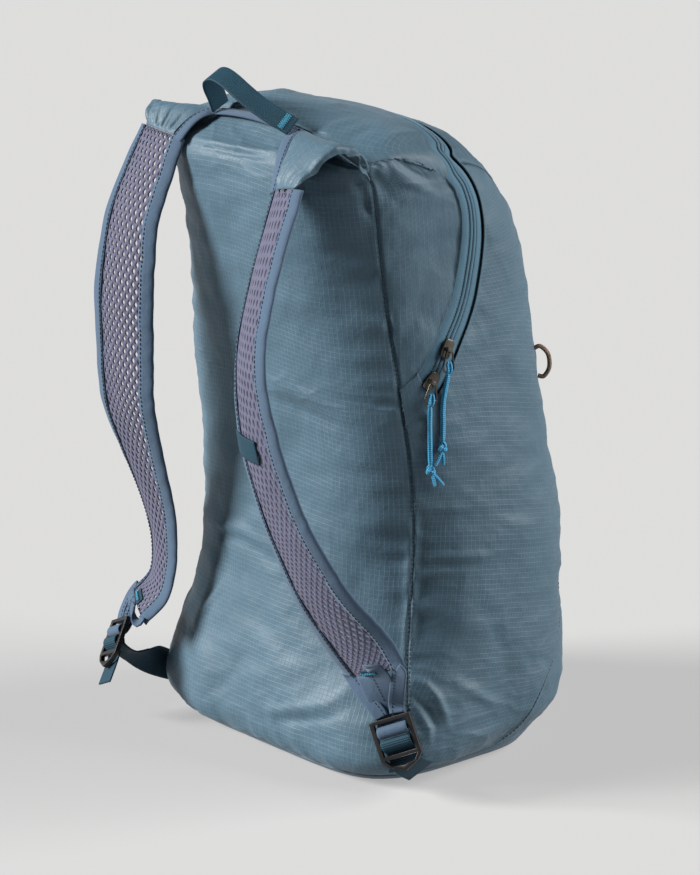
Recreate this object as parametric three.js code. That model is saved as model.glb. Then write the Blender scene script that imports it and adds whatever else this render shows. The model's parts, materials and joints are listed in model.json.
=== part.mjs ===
import * as THREE from "three";

// A packable backpack of thin ripstop cloth, standing on the floor. Millimetres, +Z up.
// The back panel that lies against the wearer faces -Y, the front faces +Y.

// Driving sizes of the bag
const BAG_HEIGHT = 436;
const BAG_WIDTH = 264;
const BAG_DEPTH = 210;
const CLOTH_WALL = 1.8;
const SEAM_GAP = 0.4;
const CREST_GAP = 0.6;
const TOUCH_GAP = 0.36;
const OVER_GAP = 0.55;

// Zip
const ZIP_WIDTH = 20;
const COIL_WIDTH = 5.4;
const TAPE_WALL = 1.2;
const TAPE_RECESS = 0.4;
const COIL_WALL = 2.1;
const COIL_PROUD = 0.5;
const SLIDER_LENGTH = 12.5;
const SLIDER_WIDTH = 6.8;
const SLIDER_PLATE = 1.6;
const BAIL_WIRE = 1.3;
const BAIL_LENGTH = 17;
const BAIL_WIDTH = 9.6;

// Shoulder straps
const STRAP_WIDTH = 55;
const STRAP_ARCH = 5;
const NET_WALL = 1.2;
const NET_STRAND = 1.9;
const STRAP_TAPE_WIDTH = 10;
const STRAP_TAPE_WALL = 0.9;
const TAPE_CLEARANCE = 0.45;
const WING_LIFT_RIGHT = 25;
const WING_LIFT_LEFT = 15;
const NECK_TAPE_WIDTH = 7.5;
const NECK_TAPE_WALL = 2.2;
const PATCH_WIDTH = 15;
const PATCH_LENGTH = 10;
const PATCH_WALL = 0.9;
const LABEL_WIDTH = 13;
const LABEL_REACH = 33;
const LABEL_WALL = 0.8;

// Ladder-lock buckles and their webbing
const BUCKLE_WIDTH = 29;
const BUCKLE_LENGTH = 36;
const BUCKLE_WALL = 3.2;
const BUCKLE_RAIL = 3;
const WEBBING_WIDTH = 21;
const WEBBING_WALL = 1.3;
const TONGUE_WALL = 1.2;

// Haul loop and front loop
const HAUL_WIDTH = 14;
const HAUL_WALL = 1.5;
const HAUL_HALF_SPAN = 41;
const HAUL_RISE = 27;
const HAUL_LEAN = 20;
const LOOP_CORD = 3;
const LOOP_REACH = 9;

// Pull cords
const PULL_CORD = 3.4;
const KNOT_SIZE = 6.6;
const KNOT_TAIL = 10;

const DEGREE = Math.PI / 180;
const UP = new THREE.Vector3(0, 0, 1);
const RIGHT = 1;
const LEFT = -1;

function vector(x, y, z) {
  return new THREE.Vector3(x, y, z);
}

function mix(a, b, share) {
  return a + (b - a) * share;
}

function columns(names, rows) {
  const table = {};
  names.forEach((name, index) => {
    table[name] = rows.map((row) => row[index]);
  });
  return table;
}

function catmull(list, share) {
  const last = list.length - 1;
  const place = Math.min(Math.max(share, 0), 1) * last;
  const index = Math.min(Math.floor(place), last - 1);
  const f = place - index;
  const at = (k) => list[Math.min(Math.max(k, 0), last)];
  const [a, b, c, d] = [at(index - 1), at(index), at(index + 1), at(index + 2)];
  const slope = (c - a) * f;
  const square = (2 * a - 5 * b + 4 * c - d) * f * f;
  const cube = (3 * b - 3 * c + d - a) * f ** 3;
  return b + 0.5 * (slope + square + cube);
}

// Rings of the bag from its base rim to the crest at the neck. Lengths are shares of the bag's depth,
// height and width; the two powers say how square the ring is at the back and at the front.
const RINGS = columns(
  ["backY", "backZ", "frontY", "frontZ", "halfWidth", "backPower", "frontPower", "droop"],
  [
    [-0.429, 0.014, 0.400, 0.032, 0.447, 5.0, 2.8, 0.000],
    [-0.467, 0.055, 0.495, 0.096, 0.504, 4.6, 2.6, 0.000],
    [-0.438, 0.183, 0.533, 0.229, 0.500, 2.5, 2.4, 0.000],
    [-0.400, 0.333, 0.529, 0.356, 0.481, 2.4, 2.4, 0.000],
    [-0.395, 0.470, 0.486, 0.482, 0.458, 2.9, 2.5, 0.000],
    [-0.429, 0.608, 0.438, 0.603, 0.436, 3.3, 2.5, 0.000],
    [-0.481, 0.739, 0.429, 0.711, 0.420, 2.8, 2.5, 0.000],
    [-0.524, 0.853, 0.400, 0.803, 0.409, 2.8, 2.3, 0.005],
    [-0.538, 0.922, 0.314, 0.885, 0.398, 3.0, 2.0, 0.011],
    [-0.519, 0.947, 0.143, 0.947, 0.390, 3.2, 2.3, 0.021],
    [-0.481, 0.963, -0.095, 0.989, 0.383, 3.6, 3.4, 0.030],
    [-0.443, 0.977, -0.286, 1.000, 0.379, 4.0, 4.0, 0.037],
    [-0.410, 0.986, -0.396, 0.989, 0.375, 4.0, 4.0, 0.041],
  ],
);

// Bearing of the back seam at even steps of height, in degrees from +X
const SEAM_BEARINGS = [-36.5, -38, -36.5, -35, -31.5, -28, -8];

// Centre line of the zip from the right back seam to the middle of the crown: bearing, height share
const ZIP_LINE = [
  [-35.6, 0.400],
  [-24.3, 0.423],
  [-15.4, 0.453],
  [-3.8, 0.498],
  [3.8, 0.550],
  [9.4, 0.603],
  [13.3, 0.658],
  [17.6, 0.718],
  [30.7, 0.780],
  [45, 0.790],
  [60, 0.790],
  [75, 0.785],
  [90, 0.783],
];

// Seam between a side panel and the front panel, from the base rim to the zip: bearing, height share
const FRONT_SEAM = [
  [10, 0.000],
  [17, 0.088],
  [29, 0.130],
  [41, 0.165],
  [50, 0.230],
  [53, 0.360],
  [52, 0.520],
  [49, 0.680],
];

const BACK_COLUMNS = 10;
const SIDE_COLUMNS = 12;
const FRONT_COLUMNS = 16;
const ZIP_COLUMNS = 2 * SIDE_COLUMNS + FRONT_COLUMNS;
const LOWER_ROWS = 8;
const UPPER_ROWS = 8;
const ROW_SHARES = [0, 0.05, 0.12, 0.22, 0.36, 0.52, 0.68, 0.84, 1];
const CREST_LEAN = vector(0, -0.35, 0.94).normalize();

function ringLength(name, height) {
  const size = { Y: BAG_DEPTH, Z: BAG_HEIGHT, h: BAG_WIDTH, p: BAG_HEIGHT }[name.at(-1)];
  return catmull(RINGS[name], height) * size;
}

function bodyPoint(bearing, height) {
  const across = Math.cos(bearing * DEGREE);
  const along = Math.sin(bearing * DEGREE);
  const backShare = 0.5 - 0.5 * along;
  const power = mix(catmull(RINGS.frontPower, height), catmull(RINGS.backPower, height), backShare);
  const reach = (Math.abs(across) ** power + Math.abs(along) ** power) ** (-1 / power);
  const frontShare = (1 + reach * along) / 2;
  const sag = ringLength("droop", height) * (reach * across) ** 2;
  return vector(
    ringLength("halfWidth", height) * reach * across,
    mix(ringLength("backY", height), ringLength("frontY", height), frontShare),
    mix(ringLength("backZ", height), ringLength("frontZ", height), frontShare) - sag,
  );
}

function bodySlopes(bearing, height) {
  const low = Math.max(height - 0.004, 0);
  const high = Math.min(height + 0.004, 1);
  const around = bodyPoint(bearing + 0.4, height).sub(bodyPoint(bearing - 0.4, height));
  const upward = bodyPoint(bearing, high).sub(bodyPoint(bearing, low));
  return [around.divideScalar(0.8), upward.divideScalar(high - low)];
}

function bodyOutward(bearing, height) {
  const [around, upward] = bodySlopes(bearing, height);
  const outward = around.cross(upward).normalize();
  return outward.lerp(CREST_LEAN, THREE.MathUtils.smoothstep(height, 0.9, 1)).normalize();
}

function mirrored(place) {
  return [180 - place[0], place[1]];
}

function seamPlace(height) {
  return [catmull(SEAM_BEARINGS, height), height];
}

// A curve over the bag's surface, cut into even steps of true length
function evenPlaces(curve, steps, shares = null) {
  const fine = 240;
  const places = [];
  const lengths = [0];
  for (let k = 0; k <= fine; k += 1) {
    places.push(curve(k / fine));
  }
  for (let k = 1; k <= fine; k += 1) {
    lengths.push(lengths[k - 1] + bodyPoint(...places[k]).distanceTo(bodyPoint(...places[k - 1])));
  }
  const result = [];
  for (let step = 0; step <= steps; step += 1) {
    const target = lengths[fine] * (shares ? shares[step] : step / steps);
    const k = Math.max(lengths.findIndex((value) => value >= target - 1e-9), 1);
    const f = (target - lengths[k - 1]) / (lengths[k] - lengths[k - 1]);
    result.push([mix(places[k - 1][0], places[k][0], f), mix(places[k - 1][1], places[k][1], f)]);
  }
  return result;
}

function tableCurve(rows) {
  const bearings = rows.map((row) => row[0]);
  const heights = rows.map((row) => row[1]);
  return (share) => [catmull(bearings, share), catmull(heights, share)];
}

// The zip: even places along its centre line, and lines beside it at a true distance
const zipHalf = evenPlaces(tableCurve(ZIP_LINE), ZIP_COLUMNS / 2);
zipHalf[0] = seamPlace(zipHalf[0][1]);
const ZIP_PLACES = [...zipHalf, ...zipHalf.slice(0, -1).reverse().map(mirrored)];

function zipTangent(index) {
  const before = ZIP_PLACES[Math.max(index - 1, 0)];
  const after = ZIP_PLACES[Math.min(index + 1, ZIP_COLUMNS)];
  return bodyPoint(...after).sub(bodyPoint(...before)).normalize();
}

function besideZip(distance) {
  return ZIP_PLACES.map((place, index) => {
    const [around, upward] = bodySlopes(...place);
    const side = bodyOutward(...place).cross(zipTangent(index)).normalize();
    const fromEnd = Math.min(index, ZIP_COLUMNS - index);
    const seamShare = THREE.MathUtils.smoothstep(3 - fromEnd, 0, 3);
    const slant = side.clone().lerp(upward.clone().normalize(), seamShare).normalize();
    const move = slant.multiplyScalar(distance / slant.dot(side));
    const [aa, ab, bb] = [around.dot(around), around.dot(upward), upward.dot(upward)];
    const [am, bm] = [around.dot(move), upward.dot(move)];
    const scale = aa * bb - ab * ab;
    const bearing = place[0] + (am * bb - bm * ab) / scale;
    const height = place[1] + (bm * aa - am * ab) / scale;
    if (index === 0) {
      return seamPlace(height);
    }
    if (index === ZIP_COLUMNS) {
      return mirrored(seamPlace(height));
    }
    return [bearing, height];
  });
}

const ZIP_LOW = besideZip(-ZIP_WIDTH / 2);
const COIL_LOW = besideZip(-COIL_WIDTH / 2);
const COIL_HIGH = besideZip(COIL_WIDTH / 2);
const ZIP_HIGH = besideZip(ZIP_WIDTH / 2);

// Shared seam lines, so that neighbouring panels meet point for point
const zipLowHeight = ZIP_LOW[0][1];
const zipHighHeight = ZIP_HIGH[0][1];
const seamBelowZip = (share) => seamPlace(mix(0, zipLowHeight, share));
const SEAM_LOWER = evenPlaces(seamBelowZip, LOWER_ROWS, ROW_SHARES);
const seamAboveZip = (share) => seamPlace(mix(zipHighHeight, 1, share));
const SEAM_UPPER = evenPlaces(seamAboveZip, UPPER_ROWS).map(([, height], index) => {
  return seamPlace(mix(height, mix(zipHighHeight, 1, index / UPPER_ROWS), 0.6));
});
const SEAM_WHOLE = [...SEAM_LOWER, COIL_LOW[0], COIL_HIGH[0], ...SEAM_UPPER];
const frontSeamTop = ZIP_LOW[SIDE_COLUMNS];
const frontSeamCurve = tableCurve([...FRONT_SEAM, frontSeamTop]);
const FRONT_SEAM_LINE = evenPlaces(frontSeamCurve, LOWER_ROWS, ROW_SHARES);

function ringPlace(share, power, height, side) {
  const depth = (1 - Math.min(Math.abs(share), 1) ** power) ** (1 / power);
  const bearing = Math.atan2(side * depth, share) / DEGREE;
  return [bearing, height];
}

// Places spread evenly across the back edge of a ring, from the left seam to the right seam
function backEdge(height) {
  const power = catmull(RINGS.backPower, height);
  const right = seamPlace(height);
  const span = bodyPoint(...right).x / ringLength("halfWidth", height);
  const places = [];
  for (let k = 0; k <= BACK_COLUMNS; k += 1) {
    places.push(ringPlace(mix(-span, span, k / BACK_COLUMNS), power, height, -1));
  }
  places[0] = [-180 - right[0], height];
  places[BACK_COLUMNS] = right;
  return places;
}

// Bearings of the crown's places along the crest, from the right back seam to the middle
const CREST_BEARINGS = [-8, 9, 22, 32, 40, 47, 55, 64, 73, 82, 90];

function crestEdge() {
  const half = [];
  for (let k = 0; k <= ZIP_COLUMNS / 2; k += 1) {
    half.push([catmull(CREST_BEARINGS, (2 * k) / ZIP_COLUMNS), 1]);
  }
  return [...half, ...half.slice(0, -1).reverse().map(mirrored)];
}

const BASE_BACK = backEdge(0);
const CREST_BACK = backEdge(1);
const CREST_FRONT = crestEdge();
const sideStart = SEAM_LOWER[0];
const BASE_SIDE = evenPlaces(
  (share) => [mix(sideStart[0], FRONT_SEAM[0][0], share), 0],
  SIDE_COLUMNS,
);
const BASE_FRONT = evenPlaces(
  (share) => [mix(FRONT_SEAM[0][0], 180 - FRONT_SEAM[0][0], share), 0],
  FRONT_COLUMNS,
);

// A four-sided patch of places between its boundary lines. The rows follow the given shares.
function patch(left, right, bottom, top, shares) {
  return patchBy(left, right, bottom, top, (j) => [shares[j], shares[j]]);
}

// The crown runs from the long seams to a short middle: near the seams its rows follow the seam's own
// heights, and its bearings turn to those of the crest only in the last rows
function crownPatch(left, right, bottom, top) {
  const rows = left.length - 1;
  const width = bottom.length - 1;
  const rise = left[rows][1] - left[0][1];
  return patchBy(left, right, bottom, top, (j, i) => {
    const fromSeam = Math.min(i, width - i) / width;
    const seamShare = (left[j][1] - left[0][1]) / rise;
    const even = j / rows;
    return [even ** 3, mix(seamShare, even, THREE.MathUtils.smoothstep(fromSeam, 0, 0.3))];
  });
}

function patchBy(left, right, bottom, top, progress) {
  const rows = left.length - 1;
  const width = bottom.length - 1;
  const grid = [];
  for (let j = 0; j <= rows; j += 1) {
    const line = [];
    for (let i = 0; i <= width; i += 1) {
      const u = i / width;
      line.push([0, 1].map((k) => {
        const between = (column) => mix(bottom[column][k], top[column][k], progress(j, column)[k]);
        const leftShift = left[j][k] - between(0);
        const rightShift = right[j][k] - between(width);
        return between(i) + mix(leftShift, rightShift, u);
      }));
    }
    grid.push(line);
  }
  return grid;
}

// A closed skin of points and triangles
class Skin {
  constructor() {
    this.points = [];
    this.faces = [];
  }

  add(point) {
    this.points.push(point.clone());
    return this.points.length - 1;
  }

  triangle(a, b, c) {
    this.faces.push([a, b, c]);
  }

  quad(a, b, c, d) {
    this.triangle(a, b, c);
    this.triangle(a, c, d);
  }

  volume() {
    let sum = 0;
    for (const [a, b, c] of this.faces) {
      const [p, q, r] = [this.points[a], this.points[b], this.points[c]];
      sum += p.dot(q.clone().cross(r)) / 6;
    }
    return sum;
  }

  geometry() {
    const turned = this.volume() < 0;
    const positions = this.points.flatMap((point) => point.toArray());
    const indices = this.faces.flatMap(([a, b, c]) => (turned ? [a, c, b] : [a, b, c]));
    const geometry = new THREE.BufferGeometry();
    geometry.setAttribute("position", new THREE.Float32BufferAttribute(positions, 3));
    geometry.setIndex(indices);
    geometry.computeVertexNormals();
    return geometry;
  }
}

// Two matching grids of points become the two faces of a thin sheet with closed edges
function sheetSkin(outer, inner, around = false, pole = null) {
  const skin = new Skin();
  const top = outer.map((line) => line.map((point) => skin.add(point)));
  const under = inner.map((line) => line.map((point) => skin.add(point)));
  const rows = outer.length - 1;
  const count = outer[0].length;
  const steps = around ? count : count - 1;
  for (let i = 0; i < steps; i += 1) {
    const k = (i + 1) % count;
    for (let j = 0; j < rows; j += 1) {
      skin.quad(top[j][i], top[j][k], top[j + 1][k], top[j + 1][i]);
      skin.quad(under[j][k], under[j][i], under[j + 1][i], under[j + 1][k]);
    }
    skin.quad(top[rows][i], top[rows][k], under[rows][k], under[rows][i]);
    if (!pole) {
      skin.quad(under[0][i], under[0][k], top[0][k], top[0][i]);
    }
  }
  if (!around) {
    const last = count - 1;
    for (let j = 0; j < rows; j += 1) {
      skin.quad(under[j + 1][0], under[j][0], top[j][0], top[j + 1][0]);
      skin.quad(under[j][last], under[j + 1][last], top[j + 1][last], top[j][last]);
    }
  }
  if (pole) {
    const topPole = skin.add(pole[0]);
    const underPole = skin.add(pole[1]);
    for (let i = 0; i < count; i += 1) {
      const k = (i + 1) % count;
      skin.triangle(topPole, top[0][k], top[0][i]);
      skin.triangle(underPole, under[0][i], under[0][k]);
    }
  }
  return skin;
}

// How far each edge point of a grid of points draws back from the seam line
function seamShift(grid, j, i, around, topGap = 0) {
  const rows = grid.length - 1;
  const last = grid[0].length - 1;
  const shift = vector(0, 0, 0);
  const edge = (inside, before, after) => {
    const inward = inside.clone().sub(grid[j][i]);
    const tangent = after.clone().sub(before).normalize();
    inward.addScaledVector(tangent, -inward.dot(tangent)).normalize();
    shift.addScaledVector(inward, SEAM_GAP / 2);
  };
  const beforeColumn = around ? (i + last) % (last + 1) : Math.max(i - 1, 0);
  const afterColumn = around ? (i + 1) % (last + 1) : Math.min(i + 1, last);
  if (j === 0) {
    edge(grid[1][i], grid[0][beforeColumn], grid[0][afterColumn]);
  }
  if (j === rows && topGap) {
    shift.addScaledVector(vector(0, 1, 0), topGap);
  } else if (j === rows) {
    edge(grid[rows - 1][i], grid[rows][beforeColumn], grid[rows][afterColumn]);
  }
  if (!around && i === 0) {
    edge(grid[j][1], grid[Math.max(j - 1, 0)][0], grid[Math.min(j + 1, rows)][0]);
  }
  if (!around && i === last) {
    edge(grid[j][last - 1], grid[Math.max(j - 1, 0)][last], grid[Math.min(j + 1, rows)][last]);
  }
  return shift;
}

function clothPanel(places, wall, proud = 0, topGap = 0) {
  const points = places.map((line) => line.map((place) => bodyPoint(...place)));
  const outer = [];
  const inner = [];
  places.forEach((line, j) => {
    outer.push([]);
    inner.push([]);
    line.forEach((place, i) => {
      const outward = bodyOutward(...place);
      const seated = points[j][i].clone().add(seamShift(points, j, i, false, topGap));
      outer[j].push(seated.clone().addScaledVector(outward, proud));
      inner[j].push(seated.clone().addScaledVector(outward, proud - wall));
    });
  });
  return sheetSkin(outer, inner);
}

function basePanel() {
  const rim = [...BASE_BACK.slice(0, -1), ...BASE_SIDE.slice(0, -1), ...BASE_FRONT.slice(0, -1)];
  rim.push(...BASE_SIDE.slice(1).reverse().map(mirrored));
  const middle = vector(0, (ringLength("backY", 0) + ringLength("frontY", 0)) / 2, 0);
  const shares = [0.45, 0.84, 0.94, 1];
  const rises = [0, 0, 0.3, 1];
  const points = shares.map((share, j) => rim.map((place) => {
    const edge = bodyPoint(...place);
    const flat = vector(mix(middle.x, edge.x, share), mix(middle.y, edge.y, share), edge.z * rises[j]);
    return flat;
  }));
  const outer = [];
  const inner = [];
  points.forEach((line, j) => {
    const turnUp = [0, 0, 0.4, 1][j];
    outer.push([]);
    inner.push([]);
    line.forEach((point, i) => {
      const outward = vector(0, 0, -1).lerp(bodyOutward(...rim[i]), turnUp).normalize();
      const shift = j === points.length - 1 ? seamShift(points, j, i, true) : vector(0, 0, 0);
      outer[j].push(point.clone().add(shift));
      inner[j].push(point.clone().add(shift).addScaledVector(outward, -CLOTH_WALL));
    });
  });
  const pole = [middle, middle.clone().addScaledVector(UP, CLOTH_WALL)];
  return sheetSkin(outer, inner, true, pole);
}

// Rings of points in order become a closed bar; the section gives the flat shape of its two ends
function sweepSkin(rings, section) {
  const skin = new Skin();
  const lines = rings.map((ring) => ring.map((point) => skin.add(point)));
  const count = section.length;
  for (let j = 0; j + 1 < lines.length; j += 1) {
    for (let i = 0; i < count; i += 1) {
      const k = (i + 1) % count;
      skin.quad(lines[j][i], lines[j][k], lines[j + 1][k], lines[j + 1][i]);
    }
  }
  const flat = section.map(([x, y]) => new THREE.Vector2(x, y));
  const [first, last] = [lines[0], lines.at(-1)];
  for (const [a, b, c] of THREE.ShapeUtils.triangulateShape(flat, [])) {
    skin.triangle(first[c], first[b], first[a]);
    skin.triangle(last[a], last[b], last[c]);
  }
  return skin;
}

// A flat band through stations: each has its centre, a width direction, its own width, and where
// the band bends sideways, the way its face looks
function bandSkin(stations, wall) {
  const rings = stations.map(({ centre, across, width, front }, index) => {
    const before = stations[Math.max(index - 1, 0)].centre;
    const after = stations[Math.min(index + 1, stations.length - 1)].centre;
    const tangent = after.clone().sub(before).normalize();
    const side = across.clone().normalize();
    const face = front ?? side.clone().cross(tangent).normalize();
    return [[-1, -1], [1, -1], [1, 1], [-1, 1]].map(([a, b]) => centre.clone()
      .addScaledVector(side, (a * width) / 2)
      .addScaledVector(face, (b * wall) / 2));
  });
  return sweepSkin(rings, [[-1, -1], [1, -1], [1, 1], [-1, 1]]);
}

// Shoulder straps: stations from the wing hem down to the end of the net. Places are shares of the
// bag's half width, depth and height; turn and lean set the width direction in degrees.
const STRAP_COLUMNS = ["x", "y", "z", "turn", "lean"];
const STRAPS = {
  [RIGHT]: columns(STRAP_COLUMNS, [
    [0.598, -0.610, 0.920, -20, 14],
    [0.636, -0.729, 0.794, -22, 10],
    [0.652, -0.786, 0.683, -20, 6],
    [0.674, -0.762, 0.562, -10, 3],
    [0.712, -0.700, 0.454, -6, 7],
    [0.758, -0.643, 0.381, -1, 10],
    [0.803, -0.576, 0.314, 5, 16],
    [0.864, -0.481, 0.243, 12, 21],
    [0.902, -0.433, 0.202, 8, 16],
  ]),
  [LEFT]: columns(STRAP_COLUMNS, [
    [0.568, -0.514, 0.941, 11, 7],
    [0.583, -0.571, 0.883, 4, 3],
    [0.598, -0.624, 0.819, 0, 3],
    [0.606, -0.648, 0.752, -4, 2],
    [0.614, -0.657, 0.688, -7, 2],
    [0.621, -0.652, 0.628, -6, 3],
    [0.636, -0.643, 0.562, -4, 4],
    [0.652, -0.619, 0.505, -3, 4],
    [0.674, -0.562, 0.433, 3, 7],
    [0.705, -0.495, 0.353, 10, 11],
    [0.742, -0.448, 0.273, 21, 11],
    [0.776, -0.450, 0.210, 27, 6],
    [0.846, -0.493, 0.172, 25, 2],
  ]),
};
const NET_ROWS = { [RIGHT]: 16, [LEFT]: 16 };
const NET_CELLS = 3;
const TAPE_SHARE = STRAP_TAPE_WIDTH / STRAP_WIDTH;
const TAPE_SPINE = STRAP_TAPE_WALL / STRAP_WIDTH;
const NET_EDGE = TAPE_SPINE + TAPE_CLEARANCE / STRAP_WIDTH;

function strapCentre(side, share) {
  const table = STRAPS[side];
  return vector(
    (side * catmull(table.x, share) * BAG_WIDTH) / 2,
    catmull(table.y, share) * BAG_DEPTH,
    catmull(table.z, share) * BAG_HEIGHT,
  );
}

function strapFrame(side, share) {
  const table = STRAPS[side];
  const low = Math.max(share - 0.01, 0);
  const high = Math.min(share + 0.01, 1);
  const tangent = strapCentre(side, high).sub(strapCentre(side, low)).normalize();
  const turn = catmull(table.turn, share) * DEGREE;
  const lean = catmull(table.lean, share) * DEGREE;
  const across = vector(
    side * Math.cos(lean) * Math.cos(turn),
    Math.cos(lean) * Math.sin(turn),
    Math.sin(lean),
  );
  across.addScaledVector(tangent, -across.dot(tangent)).normalize();
  const face = tangent.clone().cross(across).multiplyScalar(side).normalize();
  return { centre: strapCentre(side, share), tangent, across, face };
}

// A point of the strap: share down its length, share across its width, height over its middle layer
function strapPoint(side, share, width, height = 0) {
  const { centre, across, face } = strapFrame(side, share);
  const arch = STRAP_ARCH * (1 - (2 * width - 1) ** 2);
  return centre
    .addScaledVector(across, (width - 0.5) * STRAP_WIDTH)
    .addScaledVector(face, arch + height);
}

function strapNet(side) {
  const skin = new Skin();
  const rows = NET_ROWS[side];
  const widths = [NET_EDGE];
  for (let i = 0; i <= NET_CELLS; i += 1) {
    widths.push(mix(TAPE_SHARE, 1 - TAPE_SHARE, i / NET_CELLS));
  }
  widths.push(1 - NET_EDGE);
  const last = widths.length - 1;
  const halves = [NET_WALL / 2, -NET_WALL / 2];
  const grids = halves.map((height) => {
    const lines = [];
    for (let j = 0; j <= rows; j += 1) {
      lines.push(widths.map((width) => skin.add(strapPoint(side, j / rows, width, height))));
    }
    return lines;
  });
  const [top, under] = grids;
  const flat = (j, i) => {
    skin.quad(top[j][i], top[j][i + 1], top[j + 1][i + 1], top[j + 1][i]);
    skin.quad(under[j][i + 1], under[j][i], under[j + 1][i], under[j + 1][i + 1]);
  };
  for (let j = 0; j < rows; j += 1) {
    flat(j, 0);
    flat(j, last - 1);
    skin.quad(under[j + 1][0], under[j][0], top[j][0], top[j + 1][0]);
    skin.quad(under[j][last], under[j + 1][last], top[j + 1][last], top[j][last]);
    for (let i = 1; i < last - 1; i += 1) {
      if (j === rows - 1) {
        flat(j, i);
        continue;
      }
      netCell(skin, [top, under], j, i);
    }
  }
  for (let i = 0; i < last; i += 1) {
    skin.quad(under[0][i], under[0][i + 1], top[0][i + 1], top[0][i]);
    skin.quad(top[rows][i], top[rows][i + 1], under[rows][i + 1], under[rows][i]);
  }
  return skin;
}

// One cell of the net with a diamond gap cut right through it
function netCell(skin, grids, j, i) {
  const rims = grids.map((grid) => {
    const corners = [grid[j][i], grid[j][i + 1], grid[j + 1][i + 1], grid[j + 1][i]];
    const points = corners.map((index) => skin.points[index]);
    const middle = vector(0, 0, 0);
    points.forEach((point) => middle.addScaledVector(point, 0.25));
    const diamond = points.map((point, k) => {
      const side = point.clone().add(points[(k + 1) % 4]).multiplyScalar(0.5);
      const reach = side.distanceTo(middle);
      return skin.add(side.lerp(middle, NET_STRAND / 2 / reach));
    });
    return { corners, diamond };
  });
  rims.forEach(({ corners, diamond }, layer) => {
    for (let k = 0; k < 4; k += 1) {
      const next = (k + 1) % 4;
      const faces = [
        [corners[k], corners[next], diamond[k]],
        [corners[next], diamond[next], diamond[k]],
      ];
      faces.forEach(([a, b, c]) => (layer === 0 ? skin.triangle(a, b, c) : skin.triangle(a, c, b)));
    }
  });
  for (let k = 0; k < 4; k += 1) {
    const next = (k + 1) % 4;
    const [high, low] = rims.map(({ diamond }) => diamond);
    skin.quad(high[k], high[next], low[next], low[k]);
  }
}

// A tape folded over one edge of the net, open towards the net's middle
function strapTape(side, outerEdge) {
  const rows = NET_ROWS[side];
  const slot = NET_WALL / 2 + TAPE_CLEARANCE;
  const half = slot + STRAP_TAPE_WALL;
  const section = [
    [0, -half],
    [TAPE_SHARE, -half],
    [TAPE_SHARE, -slot],
    [TAPE_SPINE, -slot],
    [TAPE_SPINE, slot],
    [TAPE_SHARE, slot],
    [TAPE_SHARE, half],
    [0, half],
  ];
  const rings = [];
  for (let j = 0; j <= rows; j += 1) {
    rings.push(section.map(([width, height]) => {
      const place = outerEdge ? 1 - width : width;
      return strapPoint(side, j / rows, place, height);
    }));
  }
  return sweepSkin(rings, section);
}

// A small piece lying over the strap
function overStrap(side, shares, widths, height, wall) {
  const layer = (level) => shares.map((share) => widths.map((w) => strapPoint(side, share, w, level)));
  return sheetSkin(layer(height + wall), layer(height));
}

function strapLength(side) {
  let length = 0;
  for (let k = 0; k < 60; k += 1) {
    length += strapCentre(side, k / 60).distanceTo(strapCentre(side, (k + 1) / 60));
  }
  return length;
}

function bartackPatch(side) {
  const end = 1 - 1.5 / strapLength(side);
  const start = end - PATCH_LENGTH / strapLength(side);
  const half = PATCH_WIDTH / 2 / STRAP_WIDTH;
  const height = NET_WALL / 2 + OVER_GAP;
  return overStrap(side, [start, end], [0.5 - half, 0.5, 0.5 + half], height, PATCH_WALL);
}

function labelTape() {
  const place = 0.362;
  const span = LABEL_WIDTH / strapLength(RIGHT);
  const height = NET_WALL / 2 + TAPE_CLEARANCE + STRAP_TAPE_WALL + OVER_GAP;
  const reach = LABEL_REACH / STRAP_WIDTH;
  const widths = [0.01, reach / 3, (2 * reach) / 3, reach];
  return overStrap(RIGHT, [place, place + span], widths, height, LABEL_WALL);
}

// Yoke wings from the crest to the strap hems
const WING_COLUMNS = 8;
const WING_ROWS = 5;
const WING_LIFTS = [0.36, 0.55, 0.74, 0.87, 1];
const WING_OUTS = [0, 0, 0, 0.2, 0.5];
const WING_START_SHARE = 0.44;
const WING_SEAM_END = 0.74;
const HEM_GAP = 0.45;
const RAIL_GAP = 0.7;

// Where a wing is sewn on: along the crest, then down the back seam
function wingStart(side, share) {
  const corner = 0.75;
  let place;
  if (share <= corner) {
    const span = bodyPoint(...seamPlace(1)).x / ringLength("halfWidth", 1);
    const across = mix(WING_START_SHARE, span, share / corner);
    place = ringPlace(across, catmull(RINGS.backPower, 1), 1, -1);
  } else {
    place = seamPlace(mix(1, WING_SEAM_END, (share - corner) / (1 - corner)));
  }
  const lift = CLOTH_WALL / 2 + RAIL_GAP;
  const point = bodyPoint(...place).addScaledVector(bodyOutward(...place), lift);
  point.x *= side;
  return point;
}

function wingMiddle(side, across, along) {
  const start = wingStart(side, across);
  const hem = strapPoint(side, 0, mix(TAPE_SHARE, 1 - TAPE_SHARE, across));
  const lift = side === RIGHT ? WING_LIFT_RIGHT : WING_LIFT_LEFT;
  const rise = Math.sin(Math.PI * along) ** 0.85 * lift;
  return start.lerp(hem, along)
    .addScaledVector(UP, rise * catmull(WING_LIFTS, across))
    .add(vector(side * rise * catmull(WING_OUTS, across), 0, 0));
}

// A point just above the strap's first row
function hemPoint(side, width, height) {
  const { tangent } = strapFrame(side, 0);
  return strapPoint(side, 0, width, height).addScaledVector(tangent, -HEM_GAP);
}

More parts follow.
